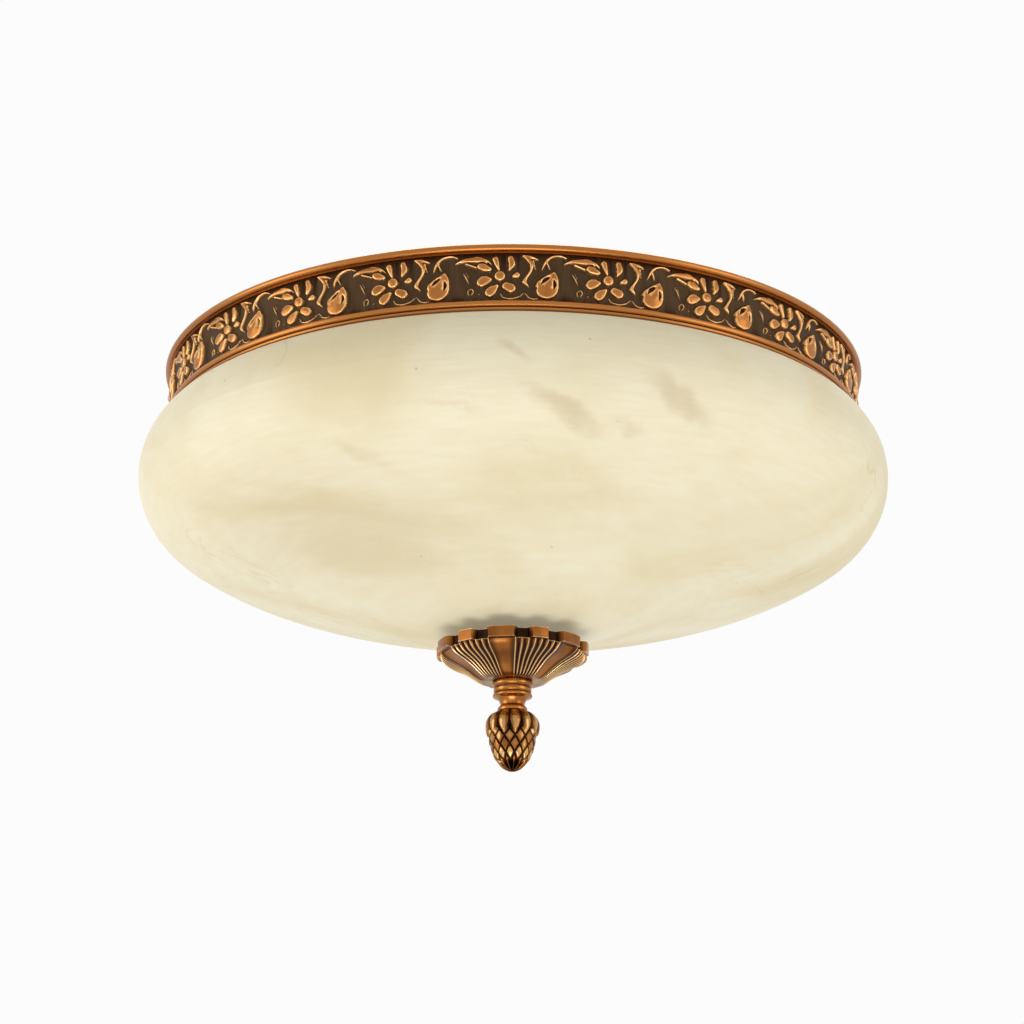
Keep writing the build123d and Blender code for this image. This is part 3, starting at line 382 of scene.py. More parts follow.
@dataclass(frozen=True, kw_only=True)
class Finish:
    """One surface: what it is made of and how it was made.

    Attributes:
        slot: the record's material slot.
        colour: the main colour.
        drift: the colour that broad patches tend to.
        patch_mm: how broad those patches are.
        roughness: roughness where the surface is smoothest.
        roughness_drift: how much rougher it gets.
        grain: which way the marks of making lie.
        grain_mm: how far apart the marks are.
        grain_depth_mm: how deep they are.
        metallic: 1 for bare metal.
        ior: index of refraction.
        coat: weight of a clear lacquer or glaze.
        clear: the share of light that goes through.
        nap: weight of the sheen that fibres give at a low angle.
    """

    slot: str
    colour: str
    drift: str
    patch_mm: float
    roughness: float
    roughness_drift: float = 0.1
    grain: Grain = Grain.EVEN
    grain_mm: float = 1.0
    grain_depth_mm: float = 0.01
    metallic: float = 0.0
    ior: float = 1.5
    coat: float = 0.0
    clear: float = 0.0
    nap: float = 0.0

    PATCHES = (0.35, 0.7)        # the noise where patches start and are full
    POLISH_PATCHES = (0.3, 0.75)
    POLISH_SIZE = 0.4            # patches of polish against those of colour

    def place(self, tree: Tree) -> Socket:
        """Coordinates for this finish's patterns, in metres.

        Args:
            tree: the material's node tree.

        Returns:
            Object coordinates, or radius and height where the grain is turned.
        """
        if self.grain is Grain.EVEN:
            return add_node(tree, "ShaderNodeTexCoord").outputs["Object"]
        radius, height, _ = round_axis(tree)
        return add_node(tree, "ShaderNodeCombineXYZ", {0: radius, 2: height}).outputs[0]

    def paint(self, place: Socket) -> Socket:
        """The surface's colour, in broad patches."""
        return mix(share(noise(place, self.patch_mm), *self.PATCHES), self.colour, self.drift)

    def polish(self, place: Socket) -> Socket:
        """The surface's roughness, which drifts as the colour does."""
        low, high = self.roughness, self.roughness + self.roughness_drift
        return share(noise(place, self.patch_mm * self.POLISH_SIZE), *self.POLISH_PATCHES, low, high)

    def extra(self, colour: Socket) -> dict[str, Any]:
        """Shader inputs that only one kind of finish has, from the colour's output."""
        return {}

    def material(self) -> bpy.types.Material:
        """Builds the material.

        Returns:
            The finished material, named for its slot.
        """
        material = bpy.data.materials.new(self.slot)
        material.use_nodes = True
        tree = material.node_tree
        tree.nodes.clear()
        place = self.place(tree)
        height = {"Height": noise(place, self.grain_mm, detail=2), "Distance": self.grain_depth_mm * MM}
        colour = self.paint(place)
        shader = add_node(tree, "ShaderNodeBsdfPrincipled", {
            "Base Color": colour,
            "Roughness": self.polish(place),
            "Normal": add_node(tree, "ShaderNodeBump", height).outputs[0],
            "Metallic": self.metallic,
            "IOR": self.ior,
            "Coat Weight": self.coat,
            "Transmission Weight": self.clear,
            "Sheen Weight": self.nap,
            **self.extra(colour),
        })
        add_node(tree, "ShaderNodeOutputMaterial", {"Surface": shader.outputs[0]})
        return material


class Wear(Enum):
    """Where an antiqued finish takes its hollows and its rubbed edges from."""

    ATTRIBUTE = "the relief and edge stored on the mesh"
    OCCLUSION = "how closed in each point is by its own piece"


@dataclass(frozen=True, kw_only=True)
class AntiquedMetal(Finish):
    """Brass or bronze, darkened all over and then rubbed back on its high points.

    Attributes:
        hollow: colour of the patina that stays in the hollows.
        rubbed: colour of the metal on rubbed edges and crests.
        hollow_roughness: roughness of the patina.
        wear: where the hollows and edges come from.
        reach_mm: width of the hollows that are looked for; the edges are a quarter as wide.
    """

    hollow: str
    rubbed: str
    hollow_roughness: float
    wear: Wear
    metallic: float = 1.0
    reach_mm: float = 4.0

    OPEN_SPAN = (0.45, 0.95)     # how open a point is where the patina is full and where it ends
    EDGE_SPAN = (0.75, 0.3)      # how open the metal behind is where rubbing starts and is full
    SAMPLES = 8                  # rays that feel for both

    def worn(self, tree: Tree) -> tuple[Socket, Socket]:
        """Finds the open and the rubbed parts of the surface.

        Args:
            tree: the material's node tree.

        Returns:
            How open each point is, and how much it is rubbed.
        """
        if self.wear is Wear.ATTRIBUTE:
            relief, edge = (
                add_node(tree, "ShaderNodeAttribute", attribute_name=name) for name in (RELIEF, EDGE)
            )
            return relief.outputs["Fac"], edge.outputs["Fac"]
        found = []
        for reach, inside, span in (
            (self.reach_mm, False, self.OPEN_SPAN), (self.reach_mm / 4, True, self.EDGE_SPAN),
        ):
            near = add_node(
                tree, "ShaderNodeAmbientOcclusion", {"Distance": reach * MM},
                samples=self.SAMPLES, only_local=True, inside=inside,
            )
            found.append(share(near.outputs["AO"], *span))
        return found[0], found[1]

    def paint(self, place: Socket) -> Socket:
        """The colour: patina in the hollows, bronze over the forms, bare metal on the edges.

        Args:
            place: the coordinates.

        Returns:
            The colour output.
        """
        opened, edge = self.worn(place.id_data)
        base = mix(opened, self.hollow, super().paint(place))
        return mix(edge, base, self.rubbed)

    def polish(self, place: Socket) -> Socket:
        """The roughness: dull in the hollows, smoother where it is open."""
        opened, _ = self.worn(place.id_data)
        return share(opened, 0.0, 1.0, self.hollow_roughness, self.roughness)


@dataclass(frozen=True, kw_only=True)
class FlutedMetal(AntiquedMetal):
    """Antiqued metal of the cup: patina along the flutes and in the recesses, bright arrises.

    Attributes:
        cup: how far the cup reaches.
        turn: direction of the first wide flute, in degrees from +X.
        repeats: number of wide flutes.
        wide: width of a wide flute, in degrees.
        ribs: number of narrow flutes between two wide ones.
        lobe_foot: the lobes' lower edge, below the cup's seat.
        recess: depth of the recesses between the lobes.
        arris: width of a rubbed arris.
    """

    cup: Extent
    turn: float
    repeats: int
    wide: float
    ribs: int
    lobe_foot: float
    recess: float
    arris: float

    # How open a flute is, from its arris to its middle in widths of a narrow flute: a narrow one
    # darkens to its middle, and a wide one is dark only along its sides.
    NARROW_FLUTE = (0.06, 0.34, 1.0, 0.0)
    WIDE_FLUTE = (0.3, 1.3, 0.25, 1.0)

    def worn(self, tree: Tree) -> tuple[Socket, Socket]:
        """Finds the flutes, arrises and recesses from where each point lies on the cup.

        Args:
            tree: the material's node tree.

        Returns:
            How open each point is, and how much it is rubbed.
        """
        radius, height, angle = round_axis(tree)
        period, wide = FULL_TURN / self.repeats, math.radians(self.wide)
        narrow = (period - wide) / self.ribs
        start = math.radians(self.turn) - wide / 2
        along = maths("FLOORED_MODULO", maths("SUBTRACT", angle, start), period)
        in_narrow = maths("GREATER_THAN", along, wide)
        near = maths("PINGPONG", maths("DIVIDE", maths("SUBTRACT", along, wide), narrow), 0.5)
        near_wide = maths("DIVIDE", maths("MINIMUM", along, maths("SUBTRACT", wide, along)), narrow)
        flute = mix(
            in_narrow, share(near_wide, *self.WIDE_FLUTE), share(near, *self.NARROW_FLUTE), "FLOAT"
        )
        nearest = mix(in_narrow, near_wide, near, "FLOAT")
        away = maths("MULTIPLY", maths("MULTIPLY", nearest, narrow), radius)
        arris = share(away, self.arris * MM, 0.0)
        foot = self.cup.top - self.lobe_foot
        below = share(height, (foot + 0.1) * MM, (foot - 0.3) * MM)
        lobes = self.cup.radius
        face = share(radius, (lobes - self.recess * 0.9) * MM, (lobes - 0.5) * MM)
        _, edge = super().worn(tree)
        return mix(below, face, flute, "FLOAT"), mix(below, edge, arris, "FLOAT")


@dataclass(frozen=True, kw_only=True)
class Mark:
    """One smear, vein or speck that this block of stone has.

    Attributes:
        azimuth: its direction from the front, to the right, in degrees.
        radius: its distance from the light's axis, in millimetres.
        height: its height in the light's frame.
        length: half its length.
        width: half its width.
        lean: how far it runs down to the right, in degrees.
        strength: how much of the vein colour it takes.
    """

    azimuth: float
    radius: float
    height: float
    length: float
    width: float
    lean: float
    strength: float

    FULL = 0.8      # the spread, 1 in the middle, from which the mark is at full strength

    def spread(self, place: Socket) -> Socket:
        """Where the mark lies.

        Args:
            place: the coordinates, already folded a little.

        Returns:
            Its strength in its middle, falling to 0 at its edge.
        """
        turn = math.radians(self.azimuth)
        middle = (self.radius * math.sin(turn), -self.radius * math.cos(turn), self.height)
        values = {
            "Vector": place,
            "Location": [c * MM for c in middle],
            "Rotation": (0, math.radians(self.lean), turn),
            "Scale": (self.length * MM, self.length * MM, self.width * MM),
        }
        local = add_node(place.id_data, "ShaderNodeMapping", values, vector_type="TEXTURE").outputs[0]
        ball = add_node(place.id_data, "ShaderNodeTexGradient", {0: local}, gradient_type="SPHERICAL")
        return share(ball.outputs["Fac"], 0.0, self.FULL, 0.0, self.strength)


@dataclass(frozen=True, kw_only=True)
class VeinedStone(Finish):
    """Turned and waxed stone with clouds, veins, fine bedding and a few dark specks.

    Attributes:
        vein: colour of the veins and specks.
        vein_spread_mm: how far apart the veins run.
        bedding_mm: thickness of the faint level layers.
        speck_mm: how far apart the specks may be.
        marks: the marks that can be told apart.
        glow: how much light goes into the stone and comes out nearby.
        glow_mm: how far that light travels, in red, green and blue.
        painted_glow: painted glow, an emission in the stone's own colour that evens its shading.
    """

    vein: str
    vein_spread_mm: float
    bedding_mm: float
    speck_mm: float
    marks: tuple[Mark, ...]
    glow: float
    glow_mm: tuple[float, float, float]
    painted_glow: float

    CLOUDS = (0.36, 0.72)
    FLATNESS = 9                    # how much longer than thick a patch of bedding is
    BEDDING = (0.3, 0.7, 0.0, 0.3)
    VEINS = ((1.0, 0.010, 0.2), (0.45, 0.012, 0.06))    # spread, width and strength of two sets
    VEIN_REGION = (0.5, 0.62)       # the noise where veins start and are full
    REGION_SIZE = 1.9               # such regions against the veins' spread
    SPECK = (0.035, 0.015, 0.0, 0.4)
    FOLD_SCALE, FOLD = 70.0, 0.012  # folds in a metre, and how far they shift a mark, in metres

    def paint(self, place: Socket) -> Socket:
        """The stone's colour: clouds, then veins in some regions, bedding and specks.

        Args:
            place: the coordinates.

        Returns:
            The colour output.
        """
        clouds = share(noise(place, self.patch_mm, 4, 0.8), *self.CLOUDS)
        colour = mix(clouds, self.colour, self.drift)
        stretched = maths("MULTIPLY", place, (1, 1, self.FLATNESS), kind="VectorMath")
        bedding = noise(stretched, self.bedding_mm * self.FLATNESS, 5)
        colour = mix(share(bedding, *self.BEDDING), colour, self.drift)
        for spread, width, strength in self.VEINS:
            pattern = noise(place, self.vein_spread_mm * spread, 6, 1.4)
            line = share(maths("ABSOLUTE", maths("SUBTRACT", pattern, 0.5)), width, 0.0)
            region = noise(place, self.vein_spread_mm * spread * self.REGION_SIZE, 1)
            where = share(region, *self.VEIN_REGION, 0.0, strength)
            colour = mix(maths("MULTIPLY", line, where), colour, self.vein)
        cells = {"Vector": place, "Scale": 1 / (self.speck_mm * MM)}
        specks = add_node(place.id_data, "ShaderNodeTexVoronoi", cells).outputs["Distance"]
        colour = mix(share(specks, *self.SPECK), colour, self.vein)
        folds = {"Vector": place, "Scale": self.FOLD_SCALE, "Detail": 4.0}
        shift = add_node(place.id_data, "ShaderNodeTexNoise", folds).outputs["Color"]
        folded = maths("MULTIPLY_ADD", shift, (self.FOLD,) * 3, place, kind="VectorMath")
        folded = maths("SUBTRACT", folded, (self.FOLD / 2,) * 3, kind="VectorMath")
        for mark in self.marks:
            colour = mix(mark.spread(folded), colour, self.vein)
        return colour

    def extra(self, colour: Socket) -> dict[str, Any]:
        """Lets light into the stone, and paints a glow on it in its own colour.

        Args:
            colour: the colour's output.

        Returns:
            The shader's inputs for both.
        """
        return {
            # painted glow: emission in the stone's own colour, though the bulbs give no light
            "Emission Color": colour, "Emission Strength": self.painted_glow, "Subsurface Weight": self.glow,
            "Subsurface Radius": self.glow_mm, "Subsurface Scale": MM,
        }


@dataclass(frozen=True, kw_only=True)
class PaleFloor(Finish):
    """Floor paint that looks as white as the room behind it, under the light's shadow.

    Attributes:
        shown: how much of the room's white is seen on it, beside its own light.
    """

    shown: float

    def extra(self, colour: Socket) -> dict[str, Any]:
        """Adds the room's white for the rays that show it."""
        strength = maths("MULTIPLY", seen_ray(colour.id_data), self.shown)
        return {"Emission Color": linear(BACKGROUND), "Emission Strength": strength}


@dataclass(frozen=True, kw_only=True)
class StripedInsulation(Finish):
    """Moulded insulation in two colours that wind round the lead.

    Attributes:
        stripe: the second colour.
        pitch_mm: about the length of one turn of the stripe along the lead.
    """

    stripe: str
    pitch_mm: float

    WAVE = 0.3                  # wave scale that gives a slanting band every pitch or two
    STRIPE = (0.45, 0.55)

    def paint(self, place: Socket) -> Socket:
        """Bands of the two colours along the lead.

        Args:
            place: the coordinates.

        Returns:
            The colour output.
        """
        bands = add_node(
            place.id_data, "ShaderNodeTexWave",
            {"Vector": place, "Scale": self.WAVE / (self.pitch_mm * MM)},
            wave_type="BANDS", bands_direction="DIAGONAL",
        )
        return mix(share(bands.outputs["Fac"], *self.STRIPE), self.colour, self.stripe)


# Cast brass with a dark bronze patina, wiped off the raised flowers: near-black brown ground,
# warm orange metal on the forms and pale gold on their edges.
CAST_BRONZE = AntiquedMetal(
    slot="cast_bronze", colour="#b0713a", drift="#97602f", patch_mm=14, roughness=0.36,
    grain_mm=0.9, grain_depth_mm=0.05, hollow="#4f3c2a", rubbed="#edba79", hollow_roughness=0.62,
    wear=Wear.ATTRIBUTE,
)
# The same brass on the cup, a little browner: dark along its flutes, with bright arrises.
FLUTED_BRONZE = FlutedMetal(
    slot="fluted_bronze", colour="#a2662f", drift="#7d4c26", patch_mm=20, roughness=0.32,
    grain_mm=1.2, grain_depth_mm=0.03, hollow="#2a190f", rubbed="#f3cf97", hollow_roughness=0.4,
    wear=Wear.OCCLUSION, cup=Extent.of("fluted_cup"), turn=-98.7, repeats=6, wide=22.0, ribs=7,
    lobe_foot=8.4, recess=4.4, arris=0.42,
)
# Spun brass sheet, lacquered: satin, with faint rings from the spinning tool.
SPUN_BRASS = Finish(
    slot="spun_brass", colour="#b0723c", drift="#a0662f", patch_mm=30, roughness=0.3,
    roughness_drift=0.08, grain=Grain.TURNED, grain_mm=0.7, grain_depth_mm=0.012, metallic=1.0,
)
# Turned and chased brass, antiqued in the grooves: the smoothest metal on the light.
FINIAL_BRASS = AntiquedMetal(
    slot="finial_brass", colour="#ae7238", drift="#94592a", patch_mm=9, roughness=0.26,
    grain_mm=1.5, grain_depth_mm=0.015, hollow="#2c1a10", rubbed="#f2cf90", hollow_roughness=0.5,
    wear=Wear.OCCLUSION, reach_mm=3.0,
)
CHASED_BRASS = AntiquedMetal(
    slot="finial_brass", colour="#98602c", drift="#6c3e1d", patch_mm=5, roughness=0.25,
    grain_depth_mm=0.02, hollow="#1d120b", rubbed="#dcb071", hollow_roughness=0.55,
    wear=Wear.ATTRIBUTE,
)
# Alabaster, turned and waxed: cream, evened by a painted glow, with tan smears and hair veins.
ALABASTER = VeinedStone(
    slot="alabaster", colour="#eae2c6", drift="#dccfa8", patch_mm=120, roughness=0.5,
    grain_mm=3.0, grain_depth_mm=0.02, ior=1.52, vein="#a98d5e", vein_spread_mm=95,
    bedding_mm=2.2, speck_mm=30, glow=0.2, glow_mm=(9, 6, 3.5), painted_glow=0.28,
    marks=(
        Mark(azimuth=6.8, radius=207, height=-95, length=34, width=8, lean=24, strength=0.36),
        Mark(azimuth=23.5, radius=211, height=-85, length=34, width=10, lean=26, strength=0.34),
        Mark(azimuth=16, radius=200, height=-101, length=22, width=5, lean=4, strength=0.22),
        Mark(azimuth=0, radius=224, height=-67, length=14, width=4, lean=35, strength=0.22),
        Mark(azimuth=-9, radius=204, height=-94, length=24, width=4, lean=12, strength=0.2),
        Mark(azimuth=-25, radius=193, height=-110, length=26, width=6, lean=25, strength=0.13),
        Mark(azimuth=-3, radius=218.2, height=-82, length=2.2, width=1.9, lean=0, strength=0.9),
        Mark(azimuth=2, radius=175.8, height=-109.6, length=3.6, width=2, lean=-25, strength=0.9),
        Mark(azimuth=-44, radius=150, height=-132, length=120, width=60, lean=8, strength=0.16),
    ),
)
# Stove enamel on steel: white, with a slight orange peel.
ENAMEL = Finish(
    slot="white_enamel", colour="#eceae4", drift="#e4e1d8", patch_mm=60, roughness=0.3,
    grain_mm=2.5, grain_depth_mm=0.02, coat=0.2,
)
# Zinc plate: grey, with the faint clouding of the plating bath.
ZINC = Finish(
    slot="zinc_steel", colour="#b9b8b3", drift="#9c9b97", patch_mm=8, roughness=0.32,
    roughness_drift=0.15, grain_mm=0.8, metallic=1.0,
)
# Machined brass: bright yellow, with tool marks.
BARE_BRASS = Finish(
    slot="bare_brass", colour="#c9a24f", drift="#b08a3e", patch_mm=5, roughness=0.28,
    grain_mm=0.5, metallic=1.0,
)
# Moulded phenolic: black-brown and glossy, with a little mottle.
PHENOLIC = Finish(
    slot="black_phenolic", colour="#17130f", drift="#241c16", patch_mm=6, roughness=0.22,
    grain_mm=1.5, ior=1.6,
)
# Glazed porcelain: white with a clear glaze.
PORCELAIN = Finish(
    slot="white_porcelain", colour="#efece4", drift="#e6e0d2", patch_mm=12, roughness=0.25,
    grain_mm=1.5, grain_depth_mm=0.02, coat=0.6,
)
# Pressed aluminium: pale, with the drawing die's marks.
CAP_METAL = Finish(
    slot="bulb_cap_metal", colour="#cfcfcd", drift="#bcbcba", patch_mm=6, roughness=0.3,
    grain_mm=0.6, metallic=1.0,
)
# Acid-etched glass: milky white, matt, only a little clear.
FROSTED = Finish(
    slot="frosted_glass", colour="#f4f3ee", drift="#eeece5", patch_mm=25, roughness=0.5,
    grain_mm=0.6, clear=0.25,
)
# Moulded nylon: ivory, waxy.
NYLON = Finish(
    slot="ivory_nylon", colour="#dcd8c8", drift="#d2cdb9", patch_mm=10, roughness=0.45, grain_mm=0.8,
)
# Extruded insulation: matt, a little dusty.
BROWN_LEAD = Finish(
    slot="lead_brown", colour="#4a2a18", drift="#593522", patch_mm=9, roughness=0.5, grain_mm=0.7,
)
BLUE_LEAD = replace(BROWN_LEAD, slot="lead_blue", colour="#2a55a3", drift="#34609f")
EARTH_LEAD = StripedInsulation(
    slot="lead_green_yellow", colour="#3c8f3a", drift="#3c8f3a", patch_mm=9, roughness=0.5,
    grain_mm=0.7, stripe="#d9c93a", pitch_mm=5,
)
# Moulded rubber: dark grey, matt with bloom.
RUBBER = Finish(
    slot="grey_rubber", colour="#2b2b2b", drift="#3a3937", patch_mm=7, roughness=0.7,
    grain_mm=0.8, grain_depth_mm=0.03,
)
# Pressed felt: cream wool, fibrous, with a soft nap.
FELT = Finish(
    slot="cream_felt", colour="#bfb191", drift="#ae9f7d", patch_mm=6, roughness=0.95,
    grain_mm=0.5, grain_depth_mm=0.15, nap=0.4,
)


@cache
def material_of(finish: Finish) -> bpy.types.Material:
    """The one material made for a finish."""
    return finish.material()


# ------------------------------------------------------------------ relief of the gallery frieze
Spot = tuple[float, float, float]


@dataclass(frozen=True)
class Stroke:
    """One smooth raised or cut stroke of the ornament.

    Attributes:
        height: how far it stands out, in millimetres; a cut has none.
        spots: places along it and up it from the flower's centre, each with a half width.
        dome: how much of its height is crown rather than flat top.
    """

    height: float
    spots: tuple[Spot, ...]
    dome: float

    STEPS = 5       # straight runs between two spots

    def line(self) -> Grid:
        """The spots joined by a smooth curve.

        Returns:
            One row of place along, place up and half width for each point of the curve.
        """
        spots = np.array(self.spots)
        if len(spots) < 3:
            return spots
        padded = np.vstack([2 * spots[0] - spots[1], spots, 2 * spots[-1] - spots[-2]])
        share = np.linspace(0, 1, self.STEPS, endpoint=False)[:, None]
        runs = [
            0.5 * (
                2 * start
                + (end - before) * share
                + (2 * before - 5 * start + 4 * end - after) * share**2
                + (3 * start - before - 3 * end + after) * share**3
            )
            for before, start, end, after in zip(padded, padded[1:], padded[2:], padded[3:])
        ]
        return np.vstack([*runs, spots[-1:]])

    def depth_inside(self, along: Grid, up: Grid) -> Grid:
        """How far inside the stroke each place lies.

        Args:
            along: places along the band.
            up: heights above the flower's centre.

        Returns:
            The distance to the stroke's edge, below zero outside it.
        """
        inside = np.full(along.shape, -np.inf)
        line = self.line()
        for start, end in zip(line, line[1:]):
            run = end[:2] - start[:2]
            length = max(float(run @ run), 1e-9)
            share = np.clip(((along - start[0]) * run[0] + (up - start[1]) * run[1]) / length, 0, 1)
            width = start[2] + (end[2] - start[2]) * share
            away = np.hypot(along - start[0] - run[0] * share, up - start[1] - run[1] * share)
            inside = np.maximum(inside, width - away)
        return inside

    def rise(self, along: Grid, up: Grid, flank: float) -> Grid:
        """Height of the stroke's surface over the ground.

        Args:
            along: places along the band.
            up: heights above the flower's centre.
            flank: width of the stroke's sloping edge.

        Returns:
            The height at each place, in millimetres.
        """
        inside = self.depth_inside(along, up)
        widest = max(spot[2] for spot in self.spots)
        crown = (1 - self.dome) + self.dome * np.sqrt(np.clip(inside / widest, 0, 1))
        return self.height * smoothstep(inside, 0, flank) * crown


def strokes(height: float, *lines: tuple[Spot, ...], dome: float = 0.35) -> tuple[Stroke, ...]:
    """The strokes of one height."""
    return tuple(Stroke(height, spots, dome) for spots in lines)


BUTTON_HEIGHT, FRUIT_HEIGHT, PETAL_HEIGHT, LEAF_HEIGHT, LINE_HEIGHT = 2.9, 3.0, 2.3, 1.9, 1.3
ROUND = 0.5

BUTTON = strokes(BUTTON_HEIGHT, ((0, -0.5, 3.3), (0.05, -0.5, 3.3)), dome=ROUND)
PETALS = strokes(
    PETAL_HEIGHT,
    ((-0.6, 3.2, 0.9), (-1.6, 6.5, 1.7), (-2.4, 9.4, 2.1)),
    ((5.2, 3.2, 1.0), (6.5, 6.6, 2.2), (5.8, 9.9, 2.0)),
    ((7.4, -0.6, 1.2), (9.3, 0.1, 2.0)),
    ((3.4, -6.4, 2.6), (5.9, -7.6, 3.0)),
    ((-1.4, -6.2, 1.2), (-4.2, -8.8, 2.8), (-5.4, -10.0, 3.0)),
    ((-5.2, -2.4, 1.4), (-8.4, -3.0, 3.1), (-10.0, -4.0, 2.9)),
    ((-5.6, 3.6, 1.6), (-9.0, 4.9, 2.5), (-10.6, 5.4, 2.1)),
)
LEAVES = strokes(
    LEAF_HEIGHT,
    ((-24.2, 7.6, 0.5), (-19.2, 9.2, 1.5), (-12.0, 9.5, 1.9), (-7.4, 8.8, 1.2), (-4.7, 6.8, 0.5)),
    ((-14.4, 11.2, 0.5), (-10.2, 9.9, 1.4), (-7.2, 7.6, 0.6)),
    ((-18.4, 7.0, 1.0), (-12.9, 4.9, 0.8)),
    # the broad tendril, its shoots and the stem that arches over the fruit
    ((12.3, 11.5, 0.7), (15.7, 8.9, 1.5), (17.2, 6.3, 1.4), (16.6, 2.5, 1.1), (14.3, -1.4, 1.2),
     (13.4, -3.9, 1.5), (15.4, -6.4, 0.5)),
    ((12.5, 11.6, 0.8), (16.5, 10.8, 1.3), (20.5, 9.6, 0.5)),
    ((18.0, 8.6, 0.9), (19.1, 4.2, 0.4)),
    ((22.9, 4.0, 0.5), (24.8, 8.0, 1.2), (27.9, 11.0, 1.1), (32.5, 12.0, 0.8), (36.1, 11.0, 0.6)),
    ((25.2, 8.2, 1.0), (27.0, 4.3, 0.4)),
)
LINES = strokes(
    LINE_HEIGHT,
    # the sprig
    ((-20.0, 2.0, 0.35), (-18.3, -1.0, 0.65), (-17.0, -4.0, 0.35)),
    ((-18.6, 2.6, 0.3), (-17.2, -0.4, 0.4)),
    ((-16.7, -11.4, 0.4), (-17.4, -9.0, 0.5), (-15.6, -7.4, 0.5), (-14.4, -9.0, 0.6),
     (-15.6, -11.0, 0.4)),
    ((-11.5, -10.7, 0.4), (-11.2, -10.4, 0.4)),
    # the waving line
    ((0.3, -10.6, 0.45), (2.1, -12.9, 0.6), (6.2, -13.6, 0.7), (10.2, -12.4, 0.6),
     (13.2, -10.2, 0.4), (15.7, -12.9, 0.6), (18.4, -13.6, 0.6), (21.6, -13.0, 0.3)),
)
FRUIT = strokes(
    FRUIT_HEIGHT,
    ((23.9, -9.0, 4.7), (26.3, -7.8, 5.5), (28.8, -2.2, 3.2), (29.4, 1.6, 1.1)),
    ((22.8, -5.8, 3.7), (26.5, -1.8, 2.6), (29.2, 1.6, 1.1)),
    dome=ROUND,
)
FRUIT_CUTS = strokes(
    0,
    ((22.0, -5.6, 0.3), (24.7, -2.4, 1.4), (27.4, -0.7, 0.3)),
    ((29.0, -8.4, 0.3), (29.6, -5.0, 1.1), (28.9, -2.2, 0.3)),
)


@dataclass
class FriezeRelief:
    """Height field of one repeat of the frieze: flower, leaves, sprig, tendrils and fruit.

    Attributes:
        radius: radius of the ground, in millimetres.
        repeats: how often the ornament goes round the band.
        top: height of the ground's upper edge.
        bottom: height of its lower edge.
        flower_z: height of the flower's centre.
        cell: spacing of the height field.
        flank: width of a stroke's sloping edge.
        cut_flank: width of a cut's sloping edge.
        heights: the field, one row for each height.
        edges: how much each place is rubbed.
    """

    radius: float
    repeats: int
    top: float
    bottom: float
    flower_z: float
    cell: float = 0.36
    flank: float = 0.7
    cut_flank: float = 0.6
    heights: Grid = field(init=False)
    edges: Grid = field(init=False)

    BLURS = 6               # how often the heights are averaged for the level round an edge
    EDGE_RISE = (0.12, 0.5)     # how far over that level rubbing starts and is full

    def __post_init__(self) -> None:
        """Works out the field once, as every repeat is the same."""
        self.period = FULL_TURN * self.radius / self.repeats
        self.columns = round(self.period / self.cell)
        self.rows = round((self.top - self.bottom) / self.cell) + 1
        along = np.arange(self.columns) * self.period / self.columns
        up = np.linspace(self.bottom, self.top, self.rows) - self.flower_z
        self.heights = self._field(*np.meshgrid(along, up))
        soft = self.heights
        for _ in range(self.BLURS):
            soft = self._blurred(soft)
        self.edges = smoothstep(self.heights - soft, *self.EDGE_RISE)

    def _field(self, along: Grid, up: Grid) -> Grid:
        """Height over the ground, with the neighbouring repeats' strokes.

        Args:
            along: places along the band.
            up: heights above the flower's centre.

        Returns:
            The height at each place.
        """
        heights = np.zeros_like(along)
        shifts = [along - turn * self.period for turn in (-1, 0, 1)]
        for stroke in (*BUTTON, *PETALS, *LEAVES, *LINES, *FRUIT):
            for place in shifts:
                heights = np.maximum(heights, stroke.rise(place, up, self.flank))
        for cut in FRUIT_CUTS:
            for place in shifts:
                heights = heights * (1 - smoothstep(cut.depth_inside(place, up), 0, self.cut_flank))
        return heights

    @staticmethod
    def _blurred(values: Grid) -> Grid:
        """Each value averaged with its neighbours."""
        wide = (np.roll(values, 1, 1) + np.roll(values, -1, 1) + 2 * values) / 4
        tall = np.pad(wide, ((1, 1), (0, 0)), mode="edge")
        return (tall[:-2] + tall[2:] + 2 * wide) / 4

    def sample(self, values: Grid, angle: Grid, z: Grid) -> Grid:
        """Reads the field at places on the band.

        Args:
            values: heights or edges.
            angle: angle from the first flower, in radians.
            z: height in the light's frame.

        Returns:
            The value at each place, from the four nearest cells.
        """
        column = (angle * self.radius % self.period) / self.period * self.columns
        row = np.clip((z - self.bottom) / (self.top - self.bottom), 0, 1) * (self.rows - 1)
        left, low = np.floor(column).astype(int), np.minimum(np.floor(row).astype(int), self.rows - 2)
        across, over = column - left, row - low
        left, right = left % self.columns, (left + 1) % self.columns
        below = values[low, left] * (1 - across) + values[low, right] * across
        above = values[low + 1, left] * (1 - across) + values[low + 1, right] * across
        return below * (1 - over) + above * over


